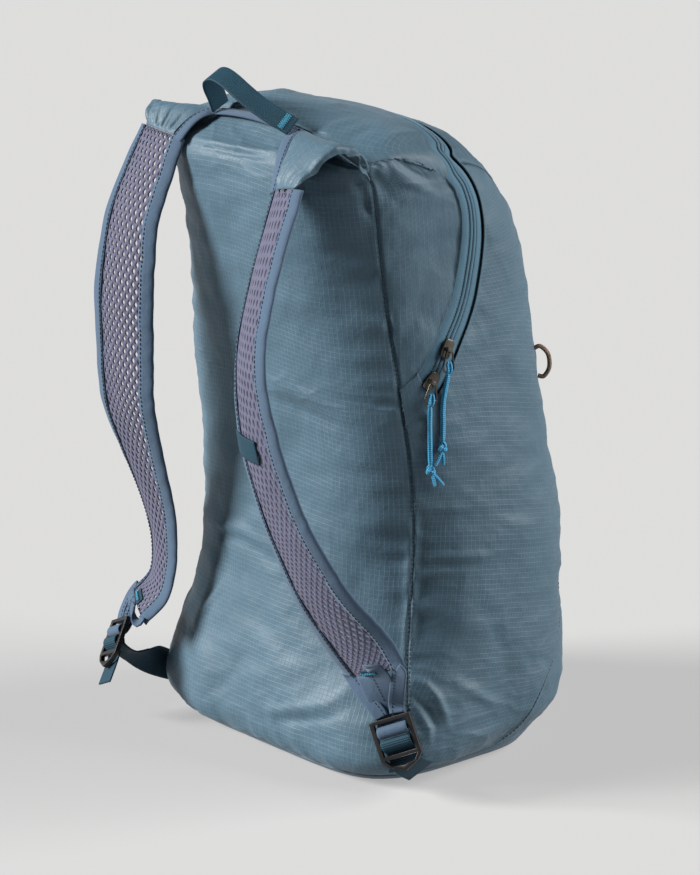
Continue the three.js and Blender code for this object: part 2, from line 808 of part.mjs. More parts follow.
function wingSheet(side) {
  const middle = [];
  for (let j = 0; j <= WING_ROWS; j += 1) {
    const line = [];
    for (let i = 0; i <= WING_COLUMNS; i += 1) {
      line.push(wingMiddle(side, i / WING_COLUMNS, j / WING_ROWS));
    }
    middle.push(line);
  }
  const faces = [CLOTH_WALL / 2, -CLOTH_WALL / 2].map((offset) => middle.map((line, j) => line.map((point, i) => {
    const after = middle[j][Math.min(i + 1, WING_COLUMNS)];
    const before = middle[j][Math.max(i - 1, 0)];
    const lower = middle[Math.min(j + 1, WING_ROWS)][i];
    const upper = middle[Math.max(j - 1, 0)][i];
    const across = after.clone().sub(before);
    const down = lower.clone().sub(upper);
    const face = across.cross(down).normalize();
    if (j === WING_ROWS) {
      return hemPoint(side, mix(TAPE_SHARE, 1 - TAPE_SHARE, i / WING_COLUMNS), offset);
    }
    return point.clone().addScaledVector(face, (face.z < 0 ? -1 : 1) * offset);
  })));
  return sheetSkin(faces[0], faces[1]);
}

// The bound neck edge: down one wing's inner edge, along the crest and down the other
function neckStations() {
  const stations = [];
  const half = WING_START_SHARE - 0.02;
  for (const share of [0, 0.34, 0.68, 0.9]) {
    const place = ringPlace(share * half, catmull(RINGS.backPower, 1), 1, -1);
    const seat = bodyPoint(...place).addScaledVector(CREST_LEAN, NECK_TAPE_WALL / 2 + TOUCH_GAP);
    seat.y -= TOUCH_GAP;
    const out = vector(-0.5 * share ** 3, -0.93, -0.25).normalize();
    stations.push({ edge: seat, out, width: NECK_TAPE_WIDTH });
  }
  for (let j = 0; j <= WING_ROWS; j += 1) {
    const along = j / WING_ROWS;
    const edge = wingMiddle(RIGHT, 0, along);
    const inward = edge.clone().sub(wingMiddle(RIGHT, 1 / WING_COLUMNS, along)).normalize();
    const hemDirection = strapFrame(RIGHT, 0).across.clone().negate();
    const neckDirection = vector(-0.62, -0.72, -0.3).normalize();
    const out = neckDirection.lerp(hemDirection, THREE.MathUtils.smoothstep(along, 0, 1)).normalize();
    edge.addScaledVector(inward, RAIL_GAP);
    stations.push({ edge, out, width: mix(NECK_TAPE_WIDTH, STRAP_TAPE_WIDTH, along) });
  }
  return stations;
}

function neckRing({ edge, out, width }, before, after) {
  const tangent = after.edge.clone().sub(before.edge).normalize();
  const side = out.clone().addScaledVector(tangent, -out.dot(tangent)).normalize();
  const face = tangent.clone().cross(side).normalize();
  const half = NECK_TAPE_WALL / 2;
  return [[0, -half], [width, -half], [width, half], [0, half]].map(([a, b]) => edge.clone()
    .addScaledVector(side, a)
    .addScaledVector(face, b));
}

function neckBinding() {
  const right = neckStations();
  const left = neckStations().slice(1).map(({ edge, out, width }, index) => {
    const wingRow = index - 3;
    if (wingRow < 0) {
      edge.x *= -1;
      out.x *= -1;
      return { edge, out, width };
    }
    const along = wingRow / WING_ROWS;
    const place = wingMiddle(LEFT, 0, along);
    const inward = place.clone().sub(wingMiddle(LEFT, 1 / WING_COLUMNS, along)).normalize();
    const hemDirection = strapFrame(LEFT, 0).across.clone().negate();
    const neckDirection = vector(0.62, -0.72, -0.3).normalize();
    const share = THREE.MathUtils.smoothstep(along, 0, 1);
    place.addScaledVector(inward, RAIL_GAP);
    return { edge: place, out: neckDirection.lerp(hemDirection, share).normalize(), width };
  });
  const stations = [...left.reverse(), ...right];
  const rings = stations.map((station, index) => neckRing(
    station,
    stations[Math.max(index - 1, 0)],
    stations[Math.min(index + 1, stations.length - 1)],
  ));
  const start = TAPE_SHARE - TOUCH_GAP / STRAP_WIDTH;
  const half = NECK_TAPE_WALL / 2;
  const ends = [[start, half], [0, half], [0, -half], [start, -half]];
  rings[0] = ends.map(([width, height]) => hemPoint(LEFT, width, height));
  rings[rings.length - 1] = ends.map(([width, height]) => hemPoint(RIGHT, width, -height));
  return sweepSkin(rings, [[0, 0], [1, 0], [1, 1], [0, 1]]);
}

// Haul loop: share of half span, share of rise, share of lean towards the wearer
const HAUL_POINTS = [
  [-0.94, 0.00, 0.00],
  [-0.91, 0.32, 0.22],
  [-0.84, 0.60, 0.50],
  [-0.71, 0.83, 0.75],
  [-0.53, 0.97, 0.88],
  [-0.34, 1.00, 0.92],
  [-0.12, 0.90, 0.90],
  [0.14, 0.70, 0.84],
  [0.40, 0.49, 0.74],
  [0.66, 0.29, 0.58],
  [0.88, 0.12, 0.36],
  [1.00, 0.02, 0.22],
];

function haulLoop() {
  const place = ringPlace(0.9 * (WING_START_SHARE - 0.02), catmull(RINGS.backPower, 1), 1, -1);
  const seat = bodyPoint(...place);
  const stations = HAUL_POINTS.map(([x, rise, lean]) => ({
    centre: vector(
      x * HAUL_HALF_SPAN,
      seat.y - 3.5 - lean * HAUL_LEAN,
      seat.z + NECK_TAPE_WALL + 3.2 * TOUCH_GAP + rise * HAUL_RISE,
    ),
    across: vector(0.05, 0.87, 0.48),
    width: HAUL_WIDTH,
  }));
  return bandSkin(stations, HAUL_WALL);
}

// Ladder-lock buckles: centre as shares of the half width, depth and height, and their directions
const BUCKLES = {
  [RIGHT]: {
    centre: [1.015, -0.405, 0.094],
    across: vector(0.762, 0.513, 0.375),
    up: vector(-0.406, -0.064, 0.911),
  },
  [LEFT]: {
    centre: [0.894, -0.586, 0.117],
    across: vector(0.892, -0.213, 0.40),
    up: vector(-0.218, 0.574, 0.79),
  },
};

function buckleFrame(side) {
  const { centre, across, up } = BUCKLES[side];
  const yAxis = up.clone().normalize();
  const xAxis = across.clone().addScaledVector(yAxis, -across.dot(yAxis)).normalize();
  const zAxis = xAxis.clone().cross(yAxis);
  const middle = vector(
    (side * centre[0] * BAG_WIDTH) / 2,
    centre[1] * BAG_DEPTH,
    centre[2] * BAG_HEIGHT,
  );
  return new THREE.Matrix4().makeBasis(xAxis, yAxis, zAxis).setPosition(middle);
}

const BAR_TOP = BUCKLE_LENGTH / 2 - 1;
const TOP_BAR = 2.4;
const CLOTH_BAR = [7, 9.6];
const WEBBING_BAR = [-1.2, 1.6];
const LOWER_BAR = [-9.6, -7];

function polygonPath(points) {
  return new THREE.Path(points.map(([x, y]) => new THREE.Vector2(x, y)));
}

function buckleGeometry() {
  const half = BUCKLE_WIDTH / 2;
  const window = half - BUCKLE_RAIL;
  const tip = -BUCKLE_LENGTH / 2 - 1;
  const shape = new THREE.Shape([
    [-half + 2.5, BAR_TOP], [-half, BAR_TOP - 2.9], [-half, LOWER_BAR[1] - 0.5], [-half + 4, tip + 5],
    [-3, tip], [3, tip], [half - 4, tip + 5], [half, LOWER_BAR[1] - 0.5], [half, BAR_TOP - 2.9],
    [half - 2.5, BAR_TOP],
  ].map(([x, y]) => new THREE.Vector2(x, y)));
  const slots = [
    [CLOTH_BAR[1], BAR_TOP - TOP_BAR],
    [WEBBING_BAR[1], CLOTH_BAR[0]],
    [LOWER_BAR[1], WEBBING_BAR[0]],
  ];
  for (const [low, high] of slots) {
    shape.holes.push(polygonPath([[-window, low], [-window, high], [window, high], [window, low]]));
  }
  const notch = LOWER_BAR[0];
  shape.holes.push(polygonPath([[-window + 1.5, notch], [window - 1.5, notch], [0, tip + 3]]));
  const geometry = new THREE.ExtrudeGeometry(shape, { depth: BUCKLE_WALL, bevelEnabled: false });
  return geometry.translate(0, 0, -BUCKLE_WALL / 2);
}

// Cloth tongue: from the strap's end, forward over the cloth bar and back up behind it.
// The pairs are height in the buckle and distance in front of its middle plane.
const TONGUE_ROUTE = [
  [24, -2.7],
  [17, -3.1],
  [13.4, -2.5],
  [10.6, 2.3],
  [9, 3],
  [7.2, 3.1],
  [5.3, 1.5],
  [5.3, -1.5],
  [7, -3.3],
  [12, -4.7],
  [19, -5.1],
];

// Webbing: from behind up over the buckle's middle bar, and down behind the lower bar to the tail
const WEBBING_ROUTE = [
  [-0.6, -4.6],
  [2.5, -2.7],
  [3, 0],
  [2.5, 2.6],
  [0.2, 3.1],
  [-2, 2.5],
  [-4, 0],
  [-5.9, -2.5],
  [-9, -3.5],
];

function inBuckle(side, [height, front], width) {
  const frame = buckleFrame(side);
  const across = vector(0, 0, 0).setFromMatrixColumn(frame, 0);
  return { centre: vector(0, height, front).applyMatrix4(frame), across, width };
}

// Where each tongue leaves its strap, and how wide it is there: shares across the strap
const TONGUE_STARTS = {
  [RIGHT]: { place: 0.5, span: 0.6, taper: 4 },
  [LEFT]: { place: 0.62, span: 0.4, taper: 1 },
};

function strapTongue(side) {
  const { tangent, across, face } = strapFrame(side, 1);
  const { place, span, taper } = TONGUE_STARTS[side];
  const width = span * STRAP_WIDTH;
  const start = strapPoint(side, 1, place).addScaledVector(tangent, TOUCH_GAP);
  const plain = across.clone().multiplyScalar(side);
  const front = face.clone().negate();
  const route = TONGUE_ROUTE.map((point) => inBuckle(side, point, WEBBING_WIDTH));
  route[0].front = vector(0, 0, 0).setFromMatrixColumn(buckleFrame(side), 2).negate();
  const stations = [
    { centre: start, across: plain, width, front },
    { centre: start.clone().addScaledVector(tangent, 3), across: plain, width: width - taper, front },
    ...route,
  ];
  return bandSkin(stations, TONGUE_WALL);
}

// Where each webbing leaves the bag, how it reaches the buckle and how its tail ends
const WEBBING_ENDS = {
  [RIGHT]: {
    height: 0.05,
    lift: 0.1,
    across: vector(0.6, 0.7, 0.3),
    entry: [[-9, -9]],
    tail: [[-14.5, -5], [-19, -12], [-23.5, -24.5]],
    tailAcross: vector(0.42, 0.74, 0.52),
  },
  [LEFT]: {
    height: 0.07,
    lift: 0.9,
    across: null,
    entry: [[-2.5, -11]],
    tail: [[-17, -3.7], [-29, -3.4]],
    tailAcross: BUCKLES[LEFT].across,
  },
};

function lowerWebbing(side) {
  const { height, lift, across, entry, tail, tailAcross } = WEBBING_ENDS[side];
  const place = seamPlace(height);
  const seatLift = WEBBING_WALL / 2 + TOUCH_GAP + lift;
  const seat = bodyPoint(...place).addScaledVector(bodyOutward(...place), seatLift);
  const seamUp = bodyPoint(...seamPlace(height + 0.03)).sub(bodyPoint(...seamPlace(height - 0.03)));
  seat.x *= side;
  seamUp.x *= side;
  const first = (across ?? seamUp).clone().normalize();
  const route = [...entry, ...WEBBING_ROUTE].map((point) => inBuckle(side, point, WEBBING_WIDTH));
  const end = tail.map((point, index) => {
    const station = inBuckle(side, point, WEBBING_WIDTH);
    station.across.lerp(tailAcross.clone().normalize(), (index + 1) / tail.length);
    return station;
  });
  const lead = [0, 0.25, 0.5, 0.75].map((share) => ({
    centre: seat.clone().lerp(route[0].centre, share),
    across: first.clone().lerp(route[0].across, share),
    width: WEBBING_WIDTH,
  }));
  return bandSkin([...lead, ...route, ...end], WEBBING_WALL);
}

// Sliders sit on the coil near the right end of the zip; their wire bails hang from the crowns
const SLIDERS = [
  { name: "lower", share: 1.75 },
  { name: "upper", share: 3.4 },
];

function zipFrame(position) {
  const index = Math.floor(position);
  const f = position - index;
  const [a, b] = [ZIP_PLACES[index], ZIP_PLACES[index + 1]];
  const place = [mix(a[0], b[0], f), mix(a[1], b[1], f)];
  const outward = bodyOutward(...place);
  const along = bodyPoint(...b).sub(bodyPoint(...a)).normalize();
  along.addScaledVector(outward, -along.dot(outward)).normalize();
  const across = along.clone().cross(outward);
  const seat = bodyPoint(...place).addScaledVector(outward, COIL_PROUD + TOUCH_GAP);
  return new THREE.Matrix4().makeBasis(across, along, outward).setPosition(seat);
}

const CROWN_LOW = SLIDER_PLATE + 0.3;
const CROWN_HIGH = CROWN_LOW + BAIL_WIRE + 0.8;

function sliderGeometry() {
  const half = SLIDER_LENGTH / 2;
  const shape = new THREE.Shape([
    [-half, 0], [half, 0], [half, SLIDER_PLATE], [half - 1.6, CROWN_LOW], [half - 2.6, CROWN_HIGH],
    [half - 4, CROWN_HIGH + 1.2], [-half + 4, CROWN_HIGH + 1.2], [-half + 2.6, CROWN_HIGH],
    [-half + 1.6, CROWN_LOW], [-half, SLIDER_PLATE],
  ].map(([x, y]) => new THREE.Vector2(x, y)));
  const eye = half - 3.8;
  const [low, high] = [CROWN_LOW + 0.1, CROWN_HIGH + 0.1];
  shape.holes.push(polygonPath([[-eye, low], [eye, low], [eye, high], [-eye, high]]));
  const geometry = new THREE.ExtrudeGeometry(shape, { depth: SLIDER_WIDTH, bevelEnabled: false });
  geometry.translate(0, 0, -SLIDER_WIDTH / 2);
  const profileToSlider = new THREE.Matrix4().makeBasis(vector(0, 1, 0), vector(0, 0, 1), vector(1, 0, 0));
  return geometry.applyMatrix4(profileToSlider);
}

function ringSkin(curve, steps, sides, radius) {
  const frames = curve.computeFrenetFrames(steps, true);
  const skin = new Skin();
  const rings = [];
  for (let j = 0; j < steps; j += 1) {
    const centre = curve.getPoint(j / steps);
    const ring = [];
    for (let i = 0; i < sides; i += 1) {
      const angle = (2 * Math.PI * i) / sides;
      ring.push(skin.add(centre.clone()
        .addScaledVector(frames.normals[j], radius * Math.cos(angle))
        .addScaledVector(frames.binormals[j], radius * Math.sin(angle))));
    }
    rings.push(ring);
  }
  for (let j = 0; j < steps; j += 1) {
    const next = (j + 1) % steps;
    for (let i = 0; i < sides; i += 1) {
      const k = (i + 1) % sides;
      skin.quad(rings[j][i], rings[j][k], rings[next][k], rings[next][i]);
    }
  }
  return skin;
}

// The wire bail: through the crown across the zip, along it past the slider, then hanging down
function bailFrame(position) {
  const frame = zipFrame(position);
  const [across, along, outward] = [0, 1, 2].map((k) => vector(0, 0, 0).setFromMatrixColumn(frame, k));
  const eye = vector(0, 0, (CROWN_LOW + CROWN_HIGH) / 2 + 0.1).applyMatrix4(frame);
  const down = UP.clone().negate().addScaledVector(outward, UP.dot(outward)).normalize();
  const level = down.clone().cross(outward).normalize();
  if (level.dot(across) < 0) {
    level.negate();
  }
  return { eye, across, along, outward, down, level };
}

const BAIL_LEAD = 4.5;

function bailCurve(position) {
  const { eye, across, along, outward, down, level } = bailFrame(position);
  const half = BAIL_WIDTH / 2;
  const point = (side, lead, drop, lift, turn) => eye.clone()
    .addScaledVector(across.clone().lerp(level, turn).normalize(), side * half)
    .addScaledVector(along, -lead)
    .addScaledVector(down, drop * (BAIL_LENGTH - BAIL_LEAD))
    .addScaledVector(outward, lift);
  const leg = [
    [0.72, 0, 0, 0, 0],
    [1.1, 1.2, 0, 0.2, 0],
    [1.15, BAIL_LEAD, 0, 0.5, 0.1],
    [1.05, BAIL_LEAD, 0.45, 0.5, 0.7],
    [0.9, BAIL_LEAD, 0.8, 0.4, 1],
    [0.4, BAIL_LEAD, 1, 0.3, 1],
  ];
  const right = leg.map(([side, ...rest]) => point(side, ...rest));
  const left = leg.map(([side, ...rest]) => point(-side, ...rest)).reverse();
  return new THREE.CatmullRomCurve3([eye, ...right, ...left], true, "centripetal");
}

// Where a pull cord leaves its bail
function bailEnd(position) {
  const { eye, along, outward, down } = bailFrame(position);
  return eye.clone()
    .addScaledVector(along, -BAIL_LEAD)
    .addScaledVector(down, BAIL_LENGTH - BAIL_LEAD + BAIL_WIRE / 2 + 2 * TOUCH_GAP)
    .addScaledVector(outward, 0.3);
}

// Places the pull cords lie over: bearing, height share and lift off the cloth
const PULL_CORDS = {
  lower: [[-27.6, 0.386, 0.8], [-28.9, 0.363, 0.8], [-29.8, 0.345, 1.9]],
  upper: [[-20.9, 0.404, 0.8], [-22.9, 0.380, 0.8], [-24.3, 0.365, 1.9]],
};
const KNOT_SLANTS = { lower: 0.35, upper: -0.4 };

function pullCordPoints(name, position) {
  const rows = PULL_CORDS[name].map(([bearing, height, lift]) => bodyPoint(bearing, height)
    .addScaledVector(bodyOutward(bearing, height), PULL_CORD / 2 + TOUCH_GAP + lift));
  return [bailEnd(position), ...rows].map((point) => point.toArray());
}

function cordGeometry(points, diameter, sides, steps) {
  const curve = new THREE.CatmullRomCurve3(points.map((point) => vector(...point)), false, "centripetal");
  const shape = new THREE.Shape();
  for (let k = 0; k < sides; k += 1) {
    const angle = (2 * Math.PI * k) / sides;
    const [x, y] = [(diameter / 2) * Math.cos(angle), (diameter / 2) * Math.sin(angle)];
    if (k === 0) {
      shape.moveTo(x, y);
    } else {
      shape.lineTo(x, y);
    }
  }
  shape.closePath();
  return new THREE.ExtrudeGeometry(shape, { steps, extrudePath: curve, bevelEnabled: false });
}

function knotMesh(name, position) {
  const radius = KNOT_SIZE / 2;
  const tail = PULL_CORD / 2 - 0.2;
  const profile = [[0, radius]];
  for (const turn of [55, 15, -25]) {
    profile.push([radius * Math.cos(turn * DEGREE), radius * Math.sin(turn * DEGREE)]);
  }
  profile.push([tail, -radius * 0.85], [tail, -radius - KNOT_TAIL], [0, -radius - KNOT_TAIL]);
  const points = profile.map(([x, y]) => new THREE.Vector2(x, y)).reverse();
  const geometry = new THREE.LatheGeometry(points, 8);
  const cord = pullCordPoints(name, position);
  const end = vector(...cord.at(-1));
  const lead = end.clone().sub(vector(...cord.at(-2))).normalize();
  const [bearing, height] = PULL_CORDS[name].at(-1);
  const [around, upward] = bodySlopes(bearing, height);
  const down = upward.normalize().negate().addScaledVector(around.normalize(), KNOT_SLANTS[name]);
  const mesh = new THREE.Mesh(geometry);
  mesh.quaternion.setFromUnitVectors(vector(0, -1, 0), down.normalize());
  mesh.position.copy(end).addScaledVector(lead, radius + TOUCH_GAP);
  return mesh;
}

// The small cord loop that stands out of the front seam
const LOOP_PLACE = [42, 0.41];
const LOOP_SPAN = 0.03;

function frontLoop() {
  const rows = [
    [0.5, 0], [0.55, 0.45], [0.3, 0.9], [0, 1], [-0.32, 0.85], [-0.55, 0.4], [-0.5, 0],
  ];
  const points = rows.map(([rise, out]) => {
    const place = [LOOP_PLACE[0], LOOP_PLACE[1] + rise * LOOP_SPAN];
    const lift = 2.5 * TOUCH_GAP + out * LOOP_REACH;
    return bodyPoint(...place).addScaledVector(bodyOutward(...LOOP_PLACE), lift).toArray();
  });
  return cordGeometry(points, LOOP_CORD, 8, 10);
}

// Looks of the materials
const looks = {
  ripstop: { color: 0x66859a, roughness: 0.55, metalness: 0 },
  zipTape: { color: 0x5b87a0, roughness: 0.7, metalness: 0 },
  zipCoil: { color: 0x1f2c36, roughness: 0.5, metalness: 0 },
  binding: { color: 0x566f8a, roughness: 0.75, metalness: 0 },
  net: { color: 0x66647a, roughness: 0.85, metalness: 0 },
  webbing: { color: 0x17425a, roughness: 0.8, metalness: 0 },
  steel: { color: 0x5a5650, roughness: 0.35, metalness: 0.9 },
  plastic: { color: 0x2b2629, roughness: 0.45, metalness: 0 },
  pullCord: { color: 0x1f8fc0, roughness: 0.7, metalness: 0 },
  loopCord: { color: 0x4f4438, roughness: 0.8, metalness: 0 },
};

const backpack = new THREE.Group();
backpack.name = "packable_backpack";

function add(name, source, look) {
  const mesh = source.isMesh ? source : new THREE.Mesh(source.isBufferGeometry ? source : source.geometry());
  mesh.name = name;
  mesh.material = new THREE.MeshStandardMaterial(looks[look]);
  mesh.material.name = name;
  backpack.add(mesh);
  return mesh;
}

// Cloth body
const seamLeftBack = SEAM_WHOLE.map(([bearing, height]) => [-180 - bearing, height]);
const backShares = SEAM_WHOLE.map(([, height]) => height);
const backPlaces = patch(seamLeftBack, SEAM_WHOLE, BASE_BACK, CREST_BACK, backShares);
add("back_panel", clothPanel(backPlaces, CLOTH_WALL, 0, -CREST_GAP / 2), "ripstop");
const seamUpperLeft = SEAM_UPPER.map(mirrored);
const crownPlaces = crownPatch(SEAM_UPPER, seamUpperLeft, ZIP_HIGH, CREST_FRONT);
add("top_panel", clothPanel(crownPlaces, CLOTH_WALL, 0, CREST_GAP), "ripstop");

const sideTop = ZIP_LOW.slice(0, SIDE_COLUMNS + 1);
const sidePlaces = patch(SEAM_LOWER, FRONT_SEAM_LINE, BASE_SIDE, sideTop, ROW_SHARES);
const sideMirror = sidePlaces.map((line) => line.map(mirrored).reverse());
add("side_panel_right", clothPanel(sidePlaces, CLOTH_WALL), "ripstop");
add("side_panel_left", clothPanel(sideMirror, CLOTH_WALL), "ripstop");

const frontSeamLeft = FRONT_SEAM_LINE.map(mirrored);
const frontTop = ZIP_LOW.slice(SIDE_COLUMNS, SIDE_COLUMNS + FRONT_COLUMNS + 1);
const frontPlaces = patch(FRONT_SEAM_LINE, frontSeamLeft, BASE_FRONT, frontTop, ROW_SHARES);
add("front_panel", clothPanel(frontPlaces, CLOTH_WALL), "ripstop");
add("base_panel", basePanel(), "ripstop");

// Zip
add("zip_tape_lower", clothPanel([ZIP_LOW, COIL_LOW], TAPE_WALL, -TAPE_RECESS), "zipTape");
add("zip_coil", clothPanel([COIL_LOW, COIL_HIGH], COIL_WALL, COIL_PROUD), "zipCoil");
add("zip_tape_upper", clothPanel([COIL_HIGH, ZIP_HIGH], TAPE_WALL, -TAPE_RECESS), "zipTape");

for (const { name, share } of SLIDERS) {
  const slider = new THREE.Mesh(sliderGeometry());
  slider.applyMatrix4(zipFrame(share));
  add(`slider_${name}`, slider, "steel");
  add(`bail_${name}`, ringSkin(bailCurve(share), 22, 6, BAIL_WIRE / 2), "steel");
  add(`pull_cord_${name}`, cordGeometry(pullCordPoints(name, share), PULL_CORD, 8, 6), "pullCord");
  add(`pull_knot_${name}`, knotMesh(name, share), "pullCord");
}

// Yoke and straps
for (const side of [RIGHT, LEFT]) {
  const hand = side === RIGHT ? "right" : "left";
  add(`wing_${hand}`, wingSheet(side), "ripstop");
  add(`strap_net_${hand}`, strapNet(side), "net");
  add(`binding_inner_${hand}`, strapTape(side, false), "binding");
  add(`binding_outer_${hand}`, strapTape(side, true), "binding");
  add(`bartack_patch_${hand}`, bartackPatch(side), "webbing");
  add(`strap_tongue_${hand}`, strapTongue(side), "binding");
  const buckle = new THREE.Mesh(buckleGeometry());
  buckle.applyMatrix4(buckleFrame(side));
  add(`buckle_${hand}`, buckle, "plastic");
  add(`lower_webbing_${hand}`, lowerWebbing(side), "webbing");
}
add("label_tape", labelTape(), "webbing");
add("neck_binding", neckBinding(), "binding");
add("haul_loop", haulLoop(), "webbing");
add("front_loop", frontLoop(), "loopCord");

export default backpack;
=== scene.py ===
# %% [markdown]
# A packable backpack
#
# The bag is a shell of thin ripstop cloth, sewn from a few panels and stuffed to its full shape. Open-net
# straps, a zip round the crown, webbing, two ladder-lock buckles and a few cords finish it. The packed
# model gives every place; this script dresses it with cloth, thread and metal.

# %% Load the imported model
import json
import math
import bmesh
import bpy
import numpy as np
from mathutils import Matrix, Vector, noise

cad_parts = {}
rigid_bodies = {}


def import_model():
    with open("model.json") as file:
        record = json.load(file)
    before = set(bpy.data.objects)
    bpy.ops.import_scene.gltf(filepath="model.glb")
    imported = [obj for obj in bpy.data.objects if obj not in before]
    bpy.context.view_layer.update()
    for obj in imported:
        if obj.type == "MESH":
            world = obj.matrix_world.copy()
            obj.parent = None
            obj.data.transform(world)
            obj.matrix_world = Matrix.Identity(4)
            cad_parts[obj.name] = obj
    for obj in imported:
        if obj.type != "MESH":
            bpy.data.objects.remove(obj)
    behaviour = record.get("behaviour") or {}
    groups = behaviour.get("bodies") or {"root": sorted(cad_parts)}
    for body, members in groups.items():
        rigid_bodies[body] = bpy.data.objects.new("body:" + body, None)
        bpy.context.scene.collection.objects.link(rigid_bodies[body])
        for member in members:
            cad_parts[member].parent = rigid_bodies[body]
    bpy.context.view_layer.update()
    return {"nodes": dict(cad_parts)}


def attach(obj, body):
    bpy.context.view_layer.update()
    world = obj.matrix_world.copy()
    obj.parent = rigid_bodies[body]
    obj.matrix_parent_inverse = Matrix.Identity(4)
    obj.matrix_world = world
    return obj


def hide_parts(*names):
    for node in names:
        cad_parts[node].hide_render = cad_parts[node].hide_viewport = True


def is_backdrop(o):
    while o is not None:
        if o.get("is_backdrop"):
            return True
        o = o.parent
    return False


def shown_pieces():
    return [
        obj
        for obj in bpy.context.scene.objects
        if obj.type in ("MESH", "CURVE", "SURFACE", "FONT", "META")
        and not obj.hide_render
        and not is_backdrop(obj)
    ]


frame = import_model()
print("nodes:", len(frame["nodes"]))

# %% [markdown]
# The sizes are the real ones in millimetres. Everything is worked out in millimetres, and the last step
# of each mesh divides by a thousand, because Blender works in metres.

# %% Sizes of the bag
BAG_HEIGHT = 436
BAG_WIDTH = 264
BAG_DEPTH = 210
ZIP_WIDTH = 20
COIL_WIDTH = 5.4
STRAP_WIDTH = 55
STRAP_ARCH = 5
STRAP_TAPE_WIDTH = 10
WEBBING_WIDTH = 21
BUCKLE_WIDTH = 29
BUCKLE_WALL = 3.2
PULL_CORD = 3.4
CLOTH_WALL = 0.9
CLOTH_STEP = 2.1
GAP = 0.36
RIGHT = 1
LEFT = -1


# %% [markdown]
# A few small sums serve the whole script: a smooth curve through a table's values, a step that eases in
# and out, and unit vectors for many points at once.

# %% Small sums
def mix(a, b, share):
    return a + (b - a) * share


def ease(value, low, high):
    share = np.clip((np.asarray(value, float) - low) / (high - low), 0, 1)
    return share * share * (3 - 2 * share)


def unit(vectors):
    vectors = np.asarray(vectors, float)
    return vectors / np.maximum(np.linalg.norm(vectors, axis=-1, keepdims=True), 1e-12)


def dot(a, b):
    return (a * b).sum(-1)


def catmull(values, share):
    values = np.asarray(values, float)
    last = len(values) - 1
    place = np.clip(np.asarray(share, float), 0, 1) * last
    index = np.minimum(np.floor(place).astype(int), last - 1)
    f = place - index
    f = f.reshape(f.shape + (1,) * (values.ndim - 1))
    a = values[np.maximum(index - 1, 0)]
    b = values[index]
    c = values[index + 1]
    d = values[np.minimum(index + 2, last)]
    square = (2 * a - 5 * b + 4 * c - d) * f ** 2
    cube = (3 * b - 3 * c + d - a) * f ** 3
    return b + 0.5 * ((c - a) * f + square + cube)


# %% [markdown]
# The stuffed bag is a stack of rounded rings from the rim of its base to the crest at the neck. Each ring
# has a back and a front place, a half width, and two powers that say how square it is. The packed
# model uses the same rings, so a piece made from them lies where its node lies.

# %% The rings of the bag
RING_NAMES = ["back_y", "back_z", "front_y", "front_z", "half_width", "back_power", "front_power", "droop"]
RING_SIZES = [BAG_DEPTH, BAG_HEIGHT, BAG_DEPTH, BAG_HEIGHT, BAG_WIDTH, 1, 1, BAG_HEIGHT]
RING_ROWS = np.array([
    [-0.429, 0.014, 0.400, 0.032, 0.447, 5.0, 2.8, 0.000],
    [-0.467, 0.055, 0.495, 0.096, 0.504, 4.6, 2.6, 0.000],
    [-0.438, 0.183, 0.533, 0.229, 0.500, 2.5, 2.4, 0.000],
    [-0.400, 0.333, 0.529, 0.356, 0.481, 2.4, 2.4, 0.000],
    [-0.395, 0.470, 0.486, 0.482, 0.458, 2.9, 2.5, 0.000],
    [-0.429, 0.608, 0.438, 0.603, 0.436, 3.3, 2.5, 0.000],
    [-0.481, 0.739, 0.429, 0.711, 0.420, 2.8, 2.5, 0.000],
    [-0.524, 0.853, 0.400, 0.803, 0.409, 2.8, 2.3, 0.005],
    [-0.538, 0.922, 0.314, 0.885, 0.398, 3.0, 2.0, 0.011],
    [-0.519, 0.947, 0.143, 0.947, 0.390, 3.2, 2.3, 0.021],
    [-0.481, 0.963, -0.095, 0.989, 0.383, 3.6, 3.4, 0.030],
    [-0.443, 0.977, -0.286, 1.000, 0.379, 4.0, 4.0, 0.037],
    [-0.410, 0.986, -0.396, 0.989, 0.375, 4.0, 4.0, 0.041],
])
CREST_LEAN = unit([0, -0.35, 0.94])


def ring(name, height):
    column = RING_NAMES.index(name)
    return catmull(RING_ROWS[:, column], height) * RING_SIZES[column]


def body_point(places):
    places = np.asarray(places, float)
    turn = np.radians(places[..., 0])
    height = places[..., 1]
    across = np.cos(turn)
    along = np.sin(turn)
    power = mix(ring("front_power", height), ring("back_power", height), 0.5 - 0.5 * along)
    reach = (np.abs(across) ** power + np.abs(along) ** power) ** (-1 / power)
    front_share = (1 + reach * along) / 2
    x = ring("half_width", height) * reach * across
    y = mix(ring("back_y", height), ring("front_y", height), front_share)
    z = mix(ring("back_z", height), ring("front_z", height), front_share)
    return np.stack([x, y, z - ring("droop", height) * (reach * across) ** 2], -1)


def body_slopes(places):
    places = np.asarray(places, float)
    low = np.maximum(places[..., 1] - 0.004, 0)
    high = np.minimum(places[..., 1] + 0.004, 1)
    turn = np.array([0.4, 0.0])
    around = (body_point(places + turn) - body_point(places - turn)) / 0.8
    above = body_point(np.stack([places[..., 0], high], -1))
    below = body_point(np.stack([places[..., 0], low], -1))
    return around, (above - below) / (high - low)[..., None]


def body_outward(places):
    around, upward = body_slopes(places)
    outward = unit(np.cross(around, upward))
    crest = ease(np.asarray(places)[..., 1], 0.9, 1)[..., None]
    return unit(mix(outward, CREST_LEAN, crest))


print("crest middle in mm:", body_point([-90, 1]).round(1))

# %% [markdown]
# Seams and zip are lines over those rings, each given by bearings and heights. Neighbouring panels
# share the same line, so they meet along it exactly.

